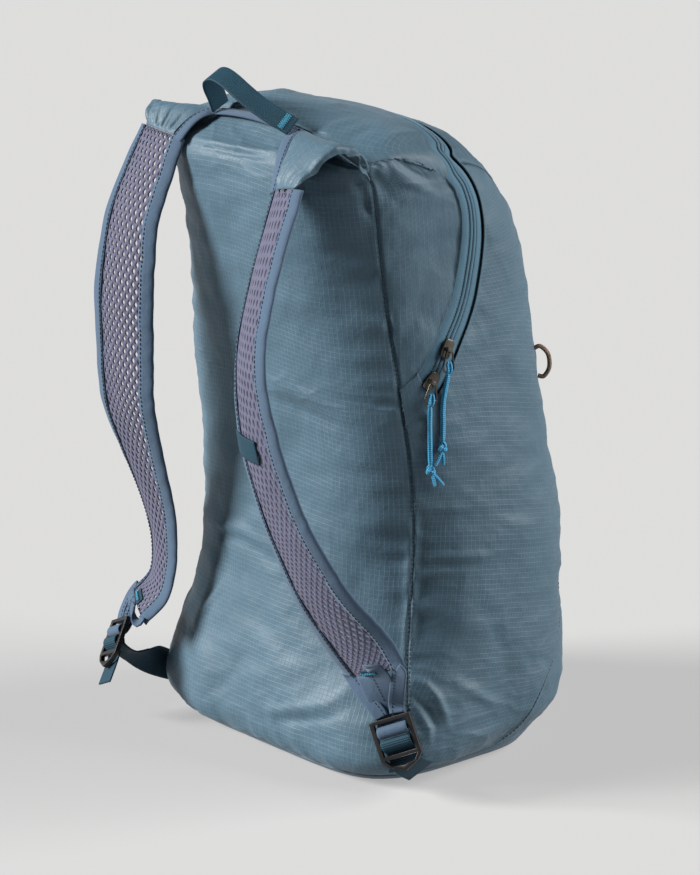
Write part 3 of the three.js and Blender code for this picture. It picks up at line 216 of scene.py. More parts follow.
# %% Seam and zip lines
SEAM_BEARINGS = [-36.5, -38, -36.5, -35, -31.5, -28, -8]
ZIP_LINE = np.array([
    [-35.6, 0.400], [-24.3, 0.423], [-15.4, 0.453], [-3.8, 0.498], [3.8, 0.550], [9.4, 0.603],
    [13.3, 0.658], [17.6, 0.718], [30.7, 0.780], [45, 0.790], [60, 0.790], [75, 0.785], [90, 0.783],
])
FRONT_SEAM = [
    [10, 0.000], [17, 0.088], [29, 0.130], [41, 0.165], [50, 0.230], [53, 0.360], [52, 0.520], [49, 0.680],
]
CREST_BEARINGS = [-8, 9, 22, 32, 40, 47, 55, 64, 73, 82, 90]
ROW_SHARES = np.array([0, 0.05, 0.12, 0.22, 0.36, 0.52, 0.68, 0.84, 1])
BACK_COLUMNS = 10
SIDE_COLUMNS = 12
FRONT_COLUMNS = 16
ZIP_COLUMNS = 2 * SIDE_COLUMNS + FRONT_COLUMNS


def mirrored(places):
    places = np.array(places, float)
    places[..., 0] = 180 - places[..., 0]
    return places


def seam_place(height):
    height = np.asarray(height, float)
    return np.stack([catmull(SEAM_BEARINGS, height), height], -1)


def line_lengths(points, axis=0):
    steps = np.linalg.norm(np.diff(points, axis=axis), axis=-1)
    start = np.zeros_like(np.take(steps, [0], axis=axis))
    return np.concatenate([start, np.cumsum(steps, axis=axis)], axis=axis)


def even_places(curve, steps, shares=None):
    line = curve(np.linspace(0, 1, 241))
    lengths = line_lengths(body_point(line))
    wanted = lengths[-1] * (np.linspace(0, 1, steps + 1) if shares is None else shares)
    return np.stack([np.interp(wanted, lengths, line[:, k]) for k in (0, 1)], -1)


half_zip = even_places(lambda share: catmull(ZIP_LINE, share), ZIP_COLUMNS // 2)
half_zip[0] = seam_place(half_zip[0, 1])
ZIP_PLACES = np.concatenate([half_zip, mirrored(half_zip[-2::-1])])


def beside_zip(distance):
    around, upward = body_slopes(ZIP_PLACES)
    points = body_point(ZIP_PLACES)
    count = len(points)
    after = points[np.minimum(np.arange(count) + 1, count - 1)]
    before = points[np.maximum(np.arange(count) - 1, 0)]
    side = unit(np.cross(body_outward(ZIP_PLACES), unit(after - before)))
    from_end = np.minimum(np.arange(count), count - 1 - np.arange(count))
    slant = unit(mix(side, unit(upward), ease(3 - from_end, 0, 3)[:, None]))
    move = slant * (distance / dot(slant, side))[:, None]
    aa, ab, bb = dot(around, around), dot(around, upward), dot(upward, upward)
    am, bm = dot(around, move), dot(upward, move)
    shift = np.stack([am * bb - bm * ab, bm * aa - am * ab], -1) / (aa * bb - ab * ab)[:, None]
    line = ZIP_PLACES + shift
    line[0] = seam_place(line[0, 1])
    line[-1] = mirrored(seam_place(line[-1, 1]))
    return line


ZIP_LOW = beside_zip(-ZIP_WIDTH / 2)
COIL_LOW = beside_zip(-COIL_WIDTH / 2)
COIL_HIGH = beside_zip(COIL_WIDTH / 2)
ZIP_HIGH = beside_zip(ZIP_WIDTH / 2)
print("zip length in mm:", line_lengths(body_point(ZIP_PLACES))[-1].round())

# %% [markdown]
# A panel is a grid of places between its four boundary lines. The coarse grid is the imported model's
# own; a smooth curve through its rows and columns then gives as many points as the cloth needs.

# %% Grids of places for the panels
low_height = ZIP_LOW[0, 1]
high_height = ZIP_HIGH[0, 1]
SEAM_LOWER = even_places(lambda share: seam_place(share * low_height), 8, ROW_SHARES)
upper_even = even_places(lambda share: seam_place(mix(high_height, 1, share)), 8)[:, 1]
SEAM_UPPER = seam_place(mix(upper_even, mix(high_height, 1, np.linspace(0, 1, 9)), 0.6))
SEAM_WHOLE = np.concatenate([SEAM_LOWER, [COIL_LOW[0], COIL_HIGH[0]], SEAM_UPPER])
front_seam = np.array([*FRONT_SEAM, ZIP_LOW[SIDE_COLUMNS]])
FRONT_SEAM_LINE = even_places(lambda share: catmull(front_seam, share), 8, ROW_SHARES)


def ring_bearing(share, power):
    depth = (1 - np.minimum(np.abs(share), 1) ** power) ** (1 / power)
    return np.degrees(np.arctan2(-depth, share))


def back_edge(height):
    right = seam_place(height)
    span = body_point(right)[0] / ring("half_width", height)
    shares = np.linspace(-span, span, BACK_COLUMNS + 1)
    bearings = ring_bearing(shares, catmull(RING_ROWS[:, 5], height))
    bearings[0] = -180 - right[0]
    bearings[-1] = right[0]
    return np.stack([bearings, np.full(BACK_COLUMNS + 1, float(height))], -1)


def level_line(start, end, steps):
    return even_places(lambda share: np.stack([mix(start, end, share), share * 0], -1), steps)


def patch(left, right, bottom, top, progress):
    between = bottom[None] + (top - bottom)[None] * progress
    u = np.linspace(0, 1, bottom.shape[0])[None, :, None]
    return between + (1 - u) * (left[:, None] - between[:, :1]) + u * (right[:, None] - between[:, -1:])


def plain_patch(left, right, bottom, top, shares):
    progress = np.broadcast_to(np.asarray(shares)[:, None, None], (len(left), len(bottom), 2))
    return patch(left, right, bottom, top, progress)


def crown_patch(left, right, bottom, top):
    rows = len(left)
    count = len(bottom)
    u = np.arange(count) / (count - 1)
    from_seam = np.minimum(u, 1 - u)[None, :]
    seam_share = ((left[:, 1] - left[0, 1]) / (left[-1, 1] - left[0, 1]))[:, None]
    even = np.linspace(0, 1, rows)[:, None]
    heights = mix(seam_share, even, ease(from_seam, 0, 0.3))
    bearings = np.broadcast_to(even ** 3, heights.shape)
    return patch(left, right, bottom, top, np.stack([bearings, heights], -1))


half_crest = np.stack([catmull(CREST_BEARINGS, np.linspace(0, 1, 21)), np.ones(21)], -1)
CREST_FRONT = np.concatenate([half_crest, mirrored(half_crest[-2::-1])])
BASE_SIDE = level_line(SEAM_LOWER[0, 0], FRONT_SEAM[0][0], SIDE_COLUMNS)
BASE_FRONT = level_line(FRONT_SEAM[0][0], 180 - FRONT_SEAM[0][0], FRONT_COLUMNS)
seam_left_back = SEAM_WHOLE.copy()
seam_left_back[:, 0] = -180 - seam_left_back[:, 0]
PANELS = {
    "back_panel": plain_patch(seam_left_back, SEAM_WHOLE, back_edge(0), back_edge(1), SEAM_WHOLE[:, 1]),
    "top_panel": crown_patch(SEAM_UPPER, mirrored(SEAM_UPPER), ZIP_HIGH, CREST_FRONT),
    "side_panel_right": plain_patch(
        SEAM_LOWER, FRONT_SEAM_LINE, BASE_SIDE, ZIP_LOW[:SIDE_COLUMNS + 1], ROW_SHARES),
    "front_panel": plain_patch(
        FRONT_SEAM_LINE, mirrored(FRONT_SEAM_LINE), BASE_FRONT,
        ZIP_LOW[SIDE_COLUMNS:SIDE_COLUMNS + FRONT_COLUMNS + 1], ROW_SHARES),
}
PANELS["side_panel_left"] = mirrored(PANELS["side_panel_right"])[:, ::-1]
print("panels:", {name: grid.shape[:2] for name, grid in PANELS.items()})


# %% [markdown]
# Shader maths reads best as plain sums. A small class wraps a socket and gives it plus, minus, times
# and divide, and one method adds any other node with its settings and its sockets.

# %% Shader sums and nodes
class Number:
    def __init__(self, finish, socket):
        self.finish = finish
        self.socket = socket

    def __add__(self, other):
        return self.finish.sum("ADD", self, other)

    def __sub__(self, other):
        return self.finish.sum("SUBTRACT", self, other)

    def __rsub__(self, other):
        return self.finish.sum("SUBTRACT", other, self)

    def __mul__(self, other):
        return self.finish.sum("MULTIPLY", self, other)

    def __truediv__(self, other):
        return self.finish.sum("DIVIDE", self, other)

    __radd__ = __add__
    __rmul__ = __mul__


class Finish:
    def __init__(self, name, **constants):
        self.material = bpy.data.materials.new(name)
        self.material.use_nodes = True
        self.tree = self.material.node_tree
        self.shader = self.tree.nodes["Principled BSDF"]
        for key, value in constants.items():
            self.shader.inputs[key.replace("_", " ")].default_value = value

    def node(self, kind, settings=None, sockets=None, output=0):
        made = self.tree.nodes.new("ShaderNode" + kind)
        for key, value in (settings or {}).items():
            if key == "stops":
                for k, (place, colour) in enumerate(value):
                    stop = made.color_ramp.elements[k] if k < 2 else made.color_ramp.elements.new(place)
                    stop.position = place
                    stop.color = colour
            else:
                setattr(made, key, value)
        for key, value in (sockets or {}).items():
            self.feed(made.inputs[key], value)
        return Number(self, made.outputs[output])

    def feed(self, socket, value):
        if isinstance(value, Number):
            self.tree.links.new(value.socket, socket)
        else:
            socket.default_value = value

    def sum(self, operation, *values):
        return self.node("Math", {"operation": operation}, dict(enumerate(values)))

    def paint(self, **looks):
        for key, value in looks.items():
            self.feed(self.shader.inputs[key.replace("_", " ")], value)

    def colours(self, share, first, second):
        sockets = {0: share, 6: first, 7: second}
        return self.node("Mix", {"data_type": "RGBA"}, sockets, output=2)

    def noise(self, scale, detail=2.0, vector=None, roughness=0.5):
        sockets = {"Scale": scale, "Detail": detail, "Roughness": roughness}
        if vector is not None:
            sockets["Vector"] = vector
        return self.node("TexNoise", None, sockets)

    def bump(self, height, distance, strength=1.0, normal=None):
        sockets = {"Height": height, "Distance": distance, "Strength": strength}
        if normal is not None:
            sockets["Normal"] = normal
        return self.node("Bump", None, sockets)

    def uv(self):
        return self.node("UVMap", {"uv_map": "cloth"})

    def objects(self):
        return self.node("TexCoord", None, None, output=3)

    def part(self, vector, axis):
        return self.node("SeparateXYZ", None, {0: vector}, output=axis)

    def stripe(self, along, pitch, width):
        """1 on thin lines every pitch along a measure, 0 between them"""
        saw = self.sum("FRACT", along / pitch)
        away = self.sum("ABSOLUTE", saw - 0.5)
        return self.sum("MAXIMUM", 1 - away * (pitch / width), 0.0)


def srgb(text):
    parts = [int(text[k:k + 2], 16) / 255 for k in (0, 2, 4)]
    return tuple(p / 12.92 if p < 0.04045 else ((p + 0.055) / 1.055) ** 2.4 for p in parts) + (1.0,)


# %% [markdown]
# Ripstop is a thin plain weave with a thicker thread every few millimetres, which shows as a fine pale
# grid. The grid follows the cloth's own UV map in metres, so it bends with each panel. Small creases
# come from stretched noise behind the bump.

# %% Ripstop cloth
def ripstop_finish(name, turn=0.0, pitch=0.0033):
    finish = Finish(name, Specular_IOR_Level=0.28, Sheen_Weight=0.04, Sheen_Roughness=0.4)
    uv = finish.node("Mapping", None, {"Vector": finish.uv(), "Rotation": (0, 0, math.radians(turn))})
    place = finish.objects()
    thread = 0.00030
    across = finish.stripe(finish.part(uv, 0), pitch, thread)
    along = finish.stripe(finish.part(uv, 1), pitch, thread)
    grid = finish.sum("MAXIMUM", across, along)
    patchy = finish.noise(22.0, 3.0, place)
    fade = finish.node("MapRange", None, {0: patchy, 1: 0.32, 2: 0.68, 3: 0.08, 4: 0.46})
    cloudy = finish.noise(9.0, 4.0, place)
    fine = finish.noise(900.0, 2.0, place)
    plain = finish.colours(cloudy, srgb("334956"), srgb("415a69"))
    speckled = finish.colours(fine * 0.35, plain, srgb("2c3f4b"))
    finish.paint(Base_Color=finish.colours(grid * fade, speckled, srgb("607786")))
    finish.paint(Roughness=0.47 + finish.noise(60.0, 3.0, place) * 0.16)
    crumple = finish.noise(46.0, 3.5, place, 0.55)
    soft = finish.bump(crumple, 0.0034, 0.34)
    creased = finish.bump(finish.noise(150.0, 2.5, place), 0.0011, 0.22, soft)
    weave = finish.bump(grid * 0.8 + fine * 0.5, 0.00014, 0.8, creased)
    finish.paint(Normal=weave)
    return finish.material


cloth_square = ripstop_finish("ripstop_square")
cloth_bias = ripstop_finish("ripstop_bias", 45.0, 0.0042)


# %% [markdown]
# Tapes and webbing are woven narrow goods. The binding is a soft plain weave; the webbing has strong
# cross ribs with a lighter thread showing between them.

# %% Tape and webbing
def tape_finish(name, dark, light, pitch, depth):
    finish = Finish(name, Specular_IOR_Level=0.25, Sheen_Weight=0.08, Sheen_Roughness=0.6)
    uv = finish.uv()
    place = finish.objects()
    across = finish.sum("SINE", finish.part(uv, 0) * (2 * math.pi / pitch))
    along = finish.sum("SINE", finish.part(uv, 1) * (2 * math.pi / pitch))
    weave = across * along * 0.5 + 0.5
    worn = finish.noise(30.0, 4.0, place)
    share = weave * 0.55 + worn * 0.45
    finish.paint(Base_Color=finish.colours(share, srgb(dark), srgb(light)))
    finish.paint(Roughness=0.66 + worn * 0.2)
    soft = finish.bump(finish.noise(140.0, 3.0, place), 0.0012, 0.45)
    finish.paint(Normal=finish.bump(weave, depth, 0.8, soft))
    return finish.material


def webbing_finish(name, dark, light, pitch=0.0016, cross=0.0013):
    finish = Finish(name, Specular_IOR_Level=0.2)
    uv = finish.uv()
    across = finish.sum("SINE", finish.part(uv, 0) * (2 * math.pi / pitch))
    along = finish.sum("SINE", finish.part(uv, 1) * (2 * math.pi / cross))
    ribs = along * 0.5 + 0.5
    threads = across * along * 0.5 + 0.5
    share = threads * 0.7 + finish.noise(60.0, 3.0, finish.objects()) * 0.3
    finish.paint(Base_Color=finish.colours(share, srgb(dark), srgb(light)))
    finish.paint(Roughness=0.72 - ribs * 0.14)
    finish.paint(Normal=finish.bump(ribs * 0.6 + threads * 0.6, 0.0004, 0.9))
    return finish.material


binding_tape = tape_finish("binding_tape", "2b3e52", "3a5066", 0.0009, 0.00018)
zip_tape = tape_finish("zip_tape_weave", "314d5d", "456a7e", 0.0011, 0.00022)
webbing = webbing_finish("webbing_teal", "04131c", "123e50")


# %% [markdown]
# The straps' net is a knitted spacer cloth with diamond openings: matt, purple-grey and slightly
# fuzzy. Threads are dark blue on the bag and bright teal where a bar of stitches closes a strap end.

# %% Net, thread, metal, moulded plastic and cords
def plain_finish(name, dark, light, roughness, grain, depth, **constants):
    finish = Finish(name, **constants)
    place = finish.objects()
    worn = finish.noise(grain, 4.0, place)
    finish.paint(Base_Color=finish.colours(worn, srgb(dark), srgb(light)))
    finish.paint(Roughness=roughness + finish.noise(grain * 0.4, 3.0, place) * 0.15)
    finish.paint(Normal=finish.bump(finish.noise(grain * 6, 3.0, place), depth, 0.6))
    return finish.material


def cord_finish(name, colours, pitch):
    """A braid: slanting strands cross around the cord, along its own UV map"""
    finish = Finish(name, Specular_IOR_Level=0.35, Sheen_Weight=0.2)
    uv = finish.uv()
    round_it = finish.part(uv, 0)
    along = finish.part(uv, 1) / pitch
    first = finish.sum("SINE", (along + round_it * 3) * (2 * math.pi))
    second = finish.sum("SINE", (along - round_it * 3) * (2 * math.pi))
    strands = first * second * 0.5 + 0.5
    finish.paint(Base_Color=finish.colours(strands, srgb(colours[0]), srgb(colours[1])))
    finish.paint(Roughness=0.62 - strands * 0.1)
    finish.paint(Normal=finish.bump(strands, 0.0005, 0.9))
    return finish.material


def fleck_finish(name):
    finish = Finish(name, Specular_IOR_Level=0.35)
    uv = finish.uv()
    cells = finish.node("TexVoronoi", None, {"Vector": uv, "Scale": 520.0}, output=1)
    fleck = finish.sum("GREATER_THAN", finish.part(cells, 0), 0.6)
    warm = finish.sum("GREATER_THAN", finish.part(cells, 1), 0.7)
    body = finish.colours(fleck, srgb("1d1b1d"), srgb("8b8272"))
    finish.paint(Base_Color=finish.colours(warm * 0.7, body, srgb("8a4f2c")), Roughness=0.7)
    finish.paint(Normal=finish.bump(finish.part(cells, 0), 0.0004, 0.6))
    return finish.material


net_knit = plain_finish("net_knit", "33344a", "49495e", 0.75, 90.0, 0.0005, Sheen_Weight=0.05)
dark_thread = plain_finish("dark_thread", "101e2a", "1a2d3b", 0.7, 400.0, 0.0001)
bright_thread = plain_finish("bright_thread", "1d6c88", "3a93ad", 0.6, 400.0, 0.0001)
gunmetal = plain_finish("gunmetal", "3c3a36", "716c64", 0.24, 120.0, 0.00005, Metallic=1.0)
moulded = plain_finish("moulded_black", "070607", "110f11", 0.34, 160.0, 0.00008, Specular_IOR_Level=0.35)
braid_blue = cord_finish("braid_blue", ("0b5a80", "2492bd"), 0.0026)
braid_fleck = fleck_finish("braid_fleck")
print("materials:", len(bpy.data.materials))


# %% [markdown]
# Cloth is made as a grid of points with its own UV map in metres, then given a wall with Solidify.

# %% From points to pieces
def grid_mesh(name, points, uv, around=False):
    rows, count = points.shape[:2]
    index = np.arange(rows * count).reshape(rows, count)
    if around:
        index = np.concatenate([index, index[:, :1]], 1)
    faces = np.stack([index[:-1, :-1], index[:-1, 1:], index[1:, 1:], index[1:, :-1]], -1).reshape(-1, 4)
    mesh = bpy.data.meshes.new(name)
    mesh.from_pydata((points.reshape(-1, 3) / 1000).tolist(), [], faces.tolist())
    layer = mesh.uv_layers.new(name="cloth")
    if around:
        uv = np.concatenate([uv, uv[:, :1] + np.array([1.0, 0.0])], 1)
        columns = uv.shape[1]
        wide = np.arange(rows * columns).reshape(rows, columns)
        corners = np.stack([wide[:-1, :-1], wide[:-1, 1:], wide[1:, 1:], wide[1:, :-1]], -1).reshape(-1)
    else:
        corners = faces.reshape(-1)
    layer.data.foreach_set("uv", uv.reshape(-1, 2)[corners].astype(np.float32).ravel())
    mesh.polygons.foreach_set("use_smooth", [True] * len(mesh.polygons))
    return mesh


def loose_mesh(name, points, faces):
    """A smooth mesh of points in mm and faces, with every face turned outwards"""
    mesh = bpy.data.meshes.new(name)
    mesh.from_pydata((points / 1000).tolist(), [], faces)
    shape = bmesh.new()
    shape.from_mesh(mesh)
    bmesh.ops.recalc_face_normals(shape, faces=shape.faces)
    shape.to_mesh(mesh)
    shape.free()
    mesh.polygons.foreach_set("use_smooth", [True] * len(mesh.polygons))
    return mesh


def declare(piece, material, replaces=()):
    """Give a piece its material, let it ride on the root body, and hide the parts it replaces"""
    piece.data.materials.clear()
    piece.data.materials.append(material)
    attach(piece, "root")
    if replaces:
        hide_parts(*replaces)
    return piece


def place_piece(name, mesh, material, replaces=()):
    piece = bpy.data.objects.new(name, mesh)
    bpy.context.scene.collection.objects.link(piece)
    return declare(piece, material, replaces)


def apply_modifier(piece, name, kind, **settings):
    modifier = piece.modifiers.new(name, kind)
    for key, value in settings.items():
        setattr(modifier, key, value)
    bpy.ops.object.select_all(action="DESELECT")
    bpy.context.view_layer.objects.active = piece
    piece.select_set(True)
    bpy.ops.object.modifier_apply(modifier=name)
    piece.select_set(False)


def give_wall(piece, wall, offset=-1.0):
    apply_modifier(piece, "wall", "SOLIDIFY", thickness=wall / 1000, offset=offset)
    return piece


def noise_field(points, size, seed):
    """Smooth noise, about -1 to 1, over points in mm; size is how far it takes to change, per axis"""
    scaled = points.reshape(-1, 3) / np.asarray(size, float) + seed
    values = np.array([noise.noise(Vector(p)) for p in scaled])
    return values.reshape(points.shape[:-1]) * 1.6


# %% [markdown]
# Real cloth between seams is never smooth. Each panel gets three things: broad dents from the load
# inside, short puckers that run in from every seam, and single folds where the photograph shows them.

# %% Folds of the cloth
FOLDS = {
    "back_panel": [
        ([[-118, 0.735], [-110, 0.735], [-95, 0.745], [-79, 0.766], [-66, 0.806]], 3.2, 2.2),
        ([[-118, 0.718], [-108, 0.716], [-94, 0.726], [-79, 0.746], [-68, 0.784]], 3.0, -1.8),
        ([[-50, 0.952], [-43, 0.90], [-38, 0.80], [-36, 0.70], [-35, 0.63], [-33, 0.592]], 2.0, -2.4),
        ([[-52, 0.93], [-45, 0.87], [-40, 0.77], [-38, 0.68], [-37, 0.62]], 4.0, 1.4),
        ([[-92, 0.398], [-84, 0.404], [-71, 0.402], [-61, 0.398], [-53, 0.394], [-45, 0.388]], 7.0, 2.0),
        ([[-84, 0.388], [-71, 0.385], [-58, 0.380], [-47, 0.372]], 5.0, -1.2),
        ([[-129, 0.236], [-112, 0.246], [-102, 0.250], [-93, 0.246], [-84, 0.246]], 3.4, 2.2),
        ([[-124, 0.228], [-112, 0.237], [-100, 0.240], [-88, 0.237]], 2.6, -1.6),
        ([[-122, 0.244], [-115, 0.236], [-110, 0.222], [-107, 0.206]], 3.0, -1.2),
        ([[-92, 0.224], [-86, 0.226], [-76, 0.230], [-64, 0.233]], 3.4, 1.3),
        ([[-122, 0.148], [-118, 0.168], [-114, 0.184], [-108, 0.200]], 3.4, 1.6),
        ([[-84, 0.100], [-78, 0.106], [-69, 0.118], [-60, 0.130], [-52, 0.146]], 3.6, 1.8),
        ([[-80, 0.092], [-70, 0.104], [-60, 0.116], [-52, 0.130]], 3.0, -1.3),
        ([[-128, 0.440], [-108, 0.458], [-94, 0.472]], 8.0, -1.5),
        ([[-66, 0.556], [-51, 0.546], [-38, 0.544]], 4.0, 0.9),
        ([[-66, 0.500], [-50, 0.492], [-36, 0.488]], 4.4, 0.9),
        ([[-64, 0.348], [-49, 0.348], [-39, 0.342]], 4.4, 1.0),
        ([[-62, 0.288], [-48, 0.284], [-39, 0.276]], 4.0, 1.0),
        ([[-118, 0.640], [-104, 0.622], [-92, 0.628]], 7.0, -1.0),
        ([[-110, 0.090], [-100, 0.120], [-94, 0.150]], 6.0, -1.2),
    ],
    "top_panel": [
        ([[40, 0.935], [44, 0.90], [46, 0.86], [47, 0.81]], 5.0, 1.8),
        ([[19, 0.930], [-4, 0.84], [-11, 0.78], [-6, 0.69]], 4.0, 1.8),
        ([[26, 0.905], [5, 0.83], [-3, 0.77], [0, 0.70]], 3.6, -1.2),
        ([[-20, 0.750], [-13, 0.70], [-5, 0.67]], 3.0, 1.3),
        ([[-22, 0.850], [-27, 0.70], [-22, 0.64]], 4.0, -1.3),
        ([[55, 0.985], [62, 0.966], [64, 0.882]], 5.0, 2.0),
        ([[78, 0.980], [77, 0.908], [84, 0.834]], 6.0, 1.3),
        ([[100, 0.975], [104, 0.90], [112, 0.84]], 6.0, 1.4),
        ([[124, 0.960], [130, 0.88], [150, 0.80]], 5.0, 1.3),
        ([[48, 0.965], [53, 0.942], [55, 0.886]], 4.0, -1.2),
        ([[-9, 0.582], [-20, 0.518], [-29, 0.476]], 7.0, -0.8),
    ],
    "side_panel_right": [
        ([[-36, 0.302], [-26, 0.300], [-14, 0.296]], 3.0, 1.5),
        ([[-38, 0.256], [-28, 0.256], [-12, 0.250], [2, 0.246]], 3.2, 1.8),
        ([[-36, 0.246], [-26, 0.246], [-12, 0.241]], 2.6, -1.2),
        ([[-6, 0.280], [4, 0.272], [15, 0.262]], 4.0, 1.2),
        ([[-38, 0.155], [-32, 0.146], [-29, 0.136], [-26, 0.120], [-24, 0.104]], 3.0, 2.4),
        ([[-38, 0.143], [-33, 0.130], [-30, 0.117], [-28, 0.102]], 2.4, -1.8),
        ([[-35, 0.128], [-31, 0.108], [-30, 0.088]], 2.6, 1.6),
        ([[-24, 0.146], [-13, 0.128], [-1, 0.104]], 4.0, 1.7),
        ([[-36, 0.282], [-20, 0.272], [8, 0.252], [30, 0.228]], 9.0, 1.4),
        ([[-35, 0.210], [-20, 0.196], [3, 0.176]], 7.0, 1.5),
        ([[-35, 0.372], [-24, 0.361], [-9, 0.358]], 4.0, 1.3),
        ([[-35, 0.336], [-26, 0.330], [-16, 0.330]], 3.0, 1.0),
        ([[-14, 0.212], [-3, 0.168], [6, 0.114]], 7.0, -1.3),
        ([[-20, 0.090], [-8, 0.078], [6, 0.074]], 3.6, 1.4),
    ],
    "front_panel": [
        ([[24, 0.545], [27, 0.532], [30, 0.520]], 1.6, -2.2),
        ([[7, 0.566], [16, 0.564], [24, 0.556], [29, 0.532], [36, 0.505], [44, 0.466]], 5.0, 1.8),
        ([[2, 0.470], [12, 0.440], [32, 0.406]], 9.0, 1.4),
        ([[3, 0.366], [18, 0.346], [33, 0.320]], 7.0, 1.3),
        ([[70, 0.620], [88, 0.600], [108, 0.618]], 7.0, 1.5),
        ([[66, 0.350], [86, 0.330], [112, 0.345]], 9.0, 1.5),
        ([[118, 0.480], [136, 0.440], [156, 0.425]], 8.0, 1.4),
        ([[60, 0.170], [84, 0.150], [110, 0.165]], 6.0, 1.5),
        ([[146, 0.560], [156, 0.530], [168, 0.540]], 5.0, 1.4),
    ],
    "side_panel_left": [
        ([[216, 0.302], [206, 0.298], [194, 0.300]], 3.2, 1.6),
        ([[217, 0.240], [206, 0.246], [190, 0.238]], 4.0, 1.7),
        ([[217, 0.150], [211, 0.136], [206, 0.112]], 3.2, 2.0),
        ([[204, 0.150], [193, 0.126], [182, 0.110]], 4.0, 1.5),
        ([[215, 0.372], [204, 0.362], [190, 0.366]], 4.6, 1.4),
        ([[212, 0.200], [196, 0.186], [178, 0.196]], 7.0, 1.5),
    ],
}


def fold_lift(points, line, width, height):
    """How far one fold lifts each point: a ridge, or a groove when the height is below 0"""
    route = body_point(np.array(line))
    best = np.full(points.shape[:-1], 1e9)
    share = np.zeros(points.shape[:-1])
    lengths = line_lengths(route)
    for k in range(len(route) - 1):
        start = route[k]
        step = route[k + 1] - start
        size = float(step @ step)
        along = np.clip(((points - start) @ step) / size, 0, 1)
        away = np.linalg.norm(points - start - along[..., None] * step, axis=-1)
        nearer = away < best
        best = np.where(nearer, away, best)
        place = (lengths[k] + along * math.sqrt(size)) / lengths[-1]
        share = np.where(nearer, place, share)
    taper = np.sin(np.pi * np.clip(share, 0.02, 0.98)) ** 0.7
    return height * np.exp(-(best / width) ** 2) * taper


def pucker_lift(points, along, away, reach, pitch, height, seed):
    """Short folds that run in from a seam: along is measured on the seam, away is from it"""
    wobble = noise_field(points, 28.0, seed + 5) * 2.2
    probe = np.stack([(along + wobble) / pitch, away / (reach * 2.6), np.full_like(along, seed)], -1)
    folds = noise_field(probe, 1.0, seed)
    folds = np.sign(folds) * np.abs(folds) ** 0.8
    strength = noise_field(np.stack([along / 48, away * 0, away * 0], -1), 1.0, seed + 9)
    strength = np.clip(0.8 + strength, 0.2, 1.7)
    start = 1 - np.exp(-away / 1.0)
    return height * folds * strength * start * np.exp(-away / reach)


def panel_shares(count, steps, length, close=(0.5, 1.2, 2.2, 3.6)):
    even = np.linspace(0, 1, (count - 1) * steps + 1)
    extra = np.array(close) / length
    return np.unique(np.concatenate([even, extra, 1 - extra]).round(6))


def panel_grid(coarse, step):
    """Places close enough for folds, with extra rows beside the edges"""
    points = body_point(coarse)
    wide = line_lengths(points, 1)[:, -1].max()
    tall = line_lengths(points, 0)[-1].max()
    rows = panel_shares(coarse.shape[0], max(round(tall / (coarse.shape[0] - 1) / step), 1), tall)
    count = panel_shares(coarse.shape[1], max(round(wide / (coarse.shape[1] - 1) / step), 1), wide)
    fine = catmull(coarse, rows)
    return np.swapaxes(catmull(np.swapaxes(fine, 0, 1), count), 0, 1)


# %% [markdown]
# The panels themselves. Each panel's left, right, low and high edge says whether it is a seam, where the
# cloth turns inwards, a lip beside the zip, where it stands a little proud of the tape, or a free edge.
# The number with it is how deep the puckers beside it are, in mm.

# %% The cloth panels
EDGES = {
    "back_panel": [("seam", 1.5), ("seam", 1.9), ("seam", 1.5), ("free", 0.7)],
    "top_panel": [("seam", 1.2), ("seam", 1.2), ("lip", 0.3), ("free", 1.0)],
    "side_panel_right": [("seam", 1.8), ("seam", 1.1), ("seam", 1.7), ("lip", 0.4)],
    "side_panel_left": [("seam", 1.1), ("seam", 1.8), ("seam", 1.7), ("lip", 0.4)],
    "front_panel": [("seam", 1.1), ("seam", 1.1), ("seam", 1.5), ("lip", 0.4)],
}


def cloth_panel(name, material, seed):
    places = panel_grid(PANELS[name], CLOTH_STEP)
    points = body_point(places)
    outward = body_outward(places)
    across = line_lengths(points, 1)
    upward = line_lengths(points, 0)
    measures = [
        (across, upward),
        (across[:, -1:] - across, upward),
        (upward, across),
        (upward[-1:] - upward, across),
    ]
    lift = 1.9 * noise_field(points, (64, 64, 70), seed)
    lift += 0.8 * noise_field(points, (30, 30, 15), seed + 3)
    crumple = noise_field(points, (20, 20, 9), seed + 6)
    lift += 0.45 * (1 - np.abs(crumple)) ** 3
    for fold in FOLDS[name]:
        lift += fold_lift(points, *fold)
    for (away, along), (kind, height) in zip(measures, EDGES[name]):
        lift += pucker_lift(points, along, away, 15.0, 8.0, height, seed + 20)
        lift += pucker_lift(points, along, away, 34.0, 9.5, 0.35 * height, seed + 33)
        lift *= 0.1 + 0.9 * ease(away, 0, 6) if kind != "free" else 0.3 + 0.7 * ease(away, 0, 9)
        if kind == "seam":
            lift -= 1.3 * np.exp(-(away / 1.2) ** 2) - 0.25 * np.exp(-((away - 3) / 1.8) ** 2)
        elif kind == "lip":
            lift += 0.7 * np.exp(-(away / 2.5) ** 2)
    middle = across[:, across.shape[1] // 2]
    uv = np.stack([across - middle[:, None], upward], -1) / 1000
    mesh = grid_mesh(name + "_cloth", points + outward * lift[..., None], uv)
    piece = place_piece(name + "_cloth", mesh, material, [name])
    return give_wall(piece, CLOTH_WALL)


for number, name in enumerate(PANELS):
    material = cloth_bias if name == "top_panel" else cloth_square
    piece = cloth_panel(name, material, 1.7 + 11.3 * number)
    print(name, "faces:", len(piece.data.polygons))

# %% [markdown]
# The base is a disc of cloth whose rim turns up to meet the panels. It rests flat on the floor, so its
# middle is level and only the rim rises.

# %% The base panel
def close_up(mesh, distance=0.01):
    """Merge points that lie on each other, so that a pole or a seam is closed"""
    shape = bmesh.new()
    shape.from_mesh(mesh)
    bmesh.ops.remove_doubles(shape, verts=shape.verts, dist=distance / 1000)
    shape.to_mesh(mesh)
    shape.free()


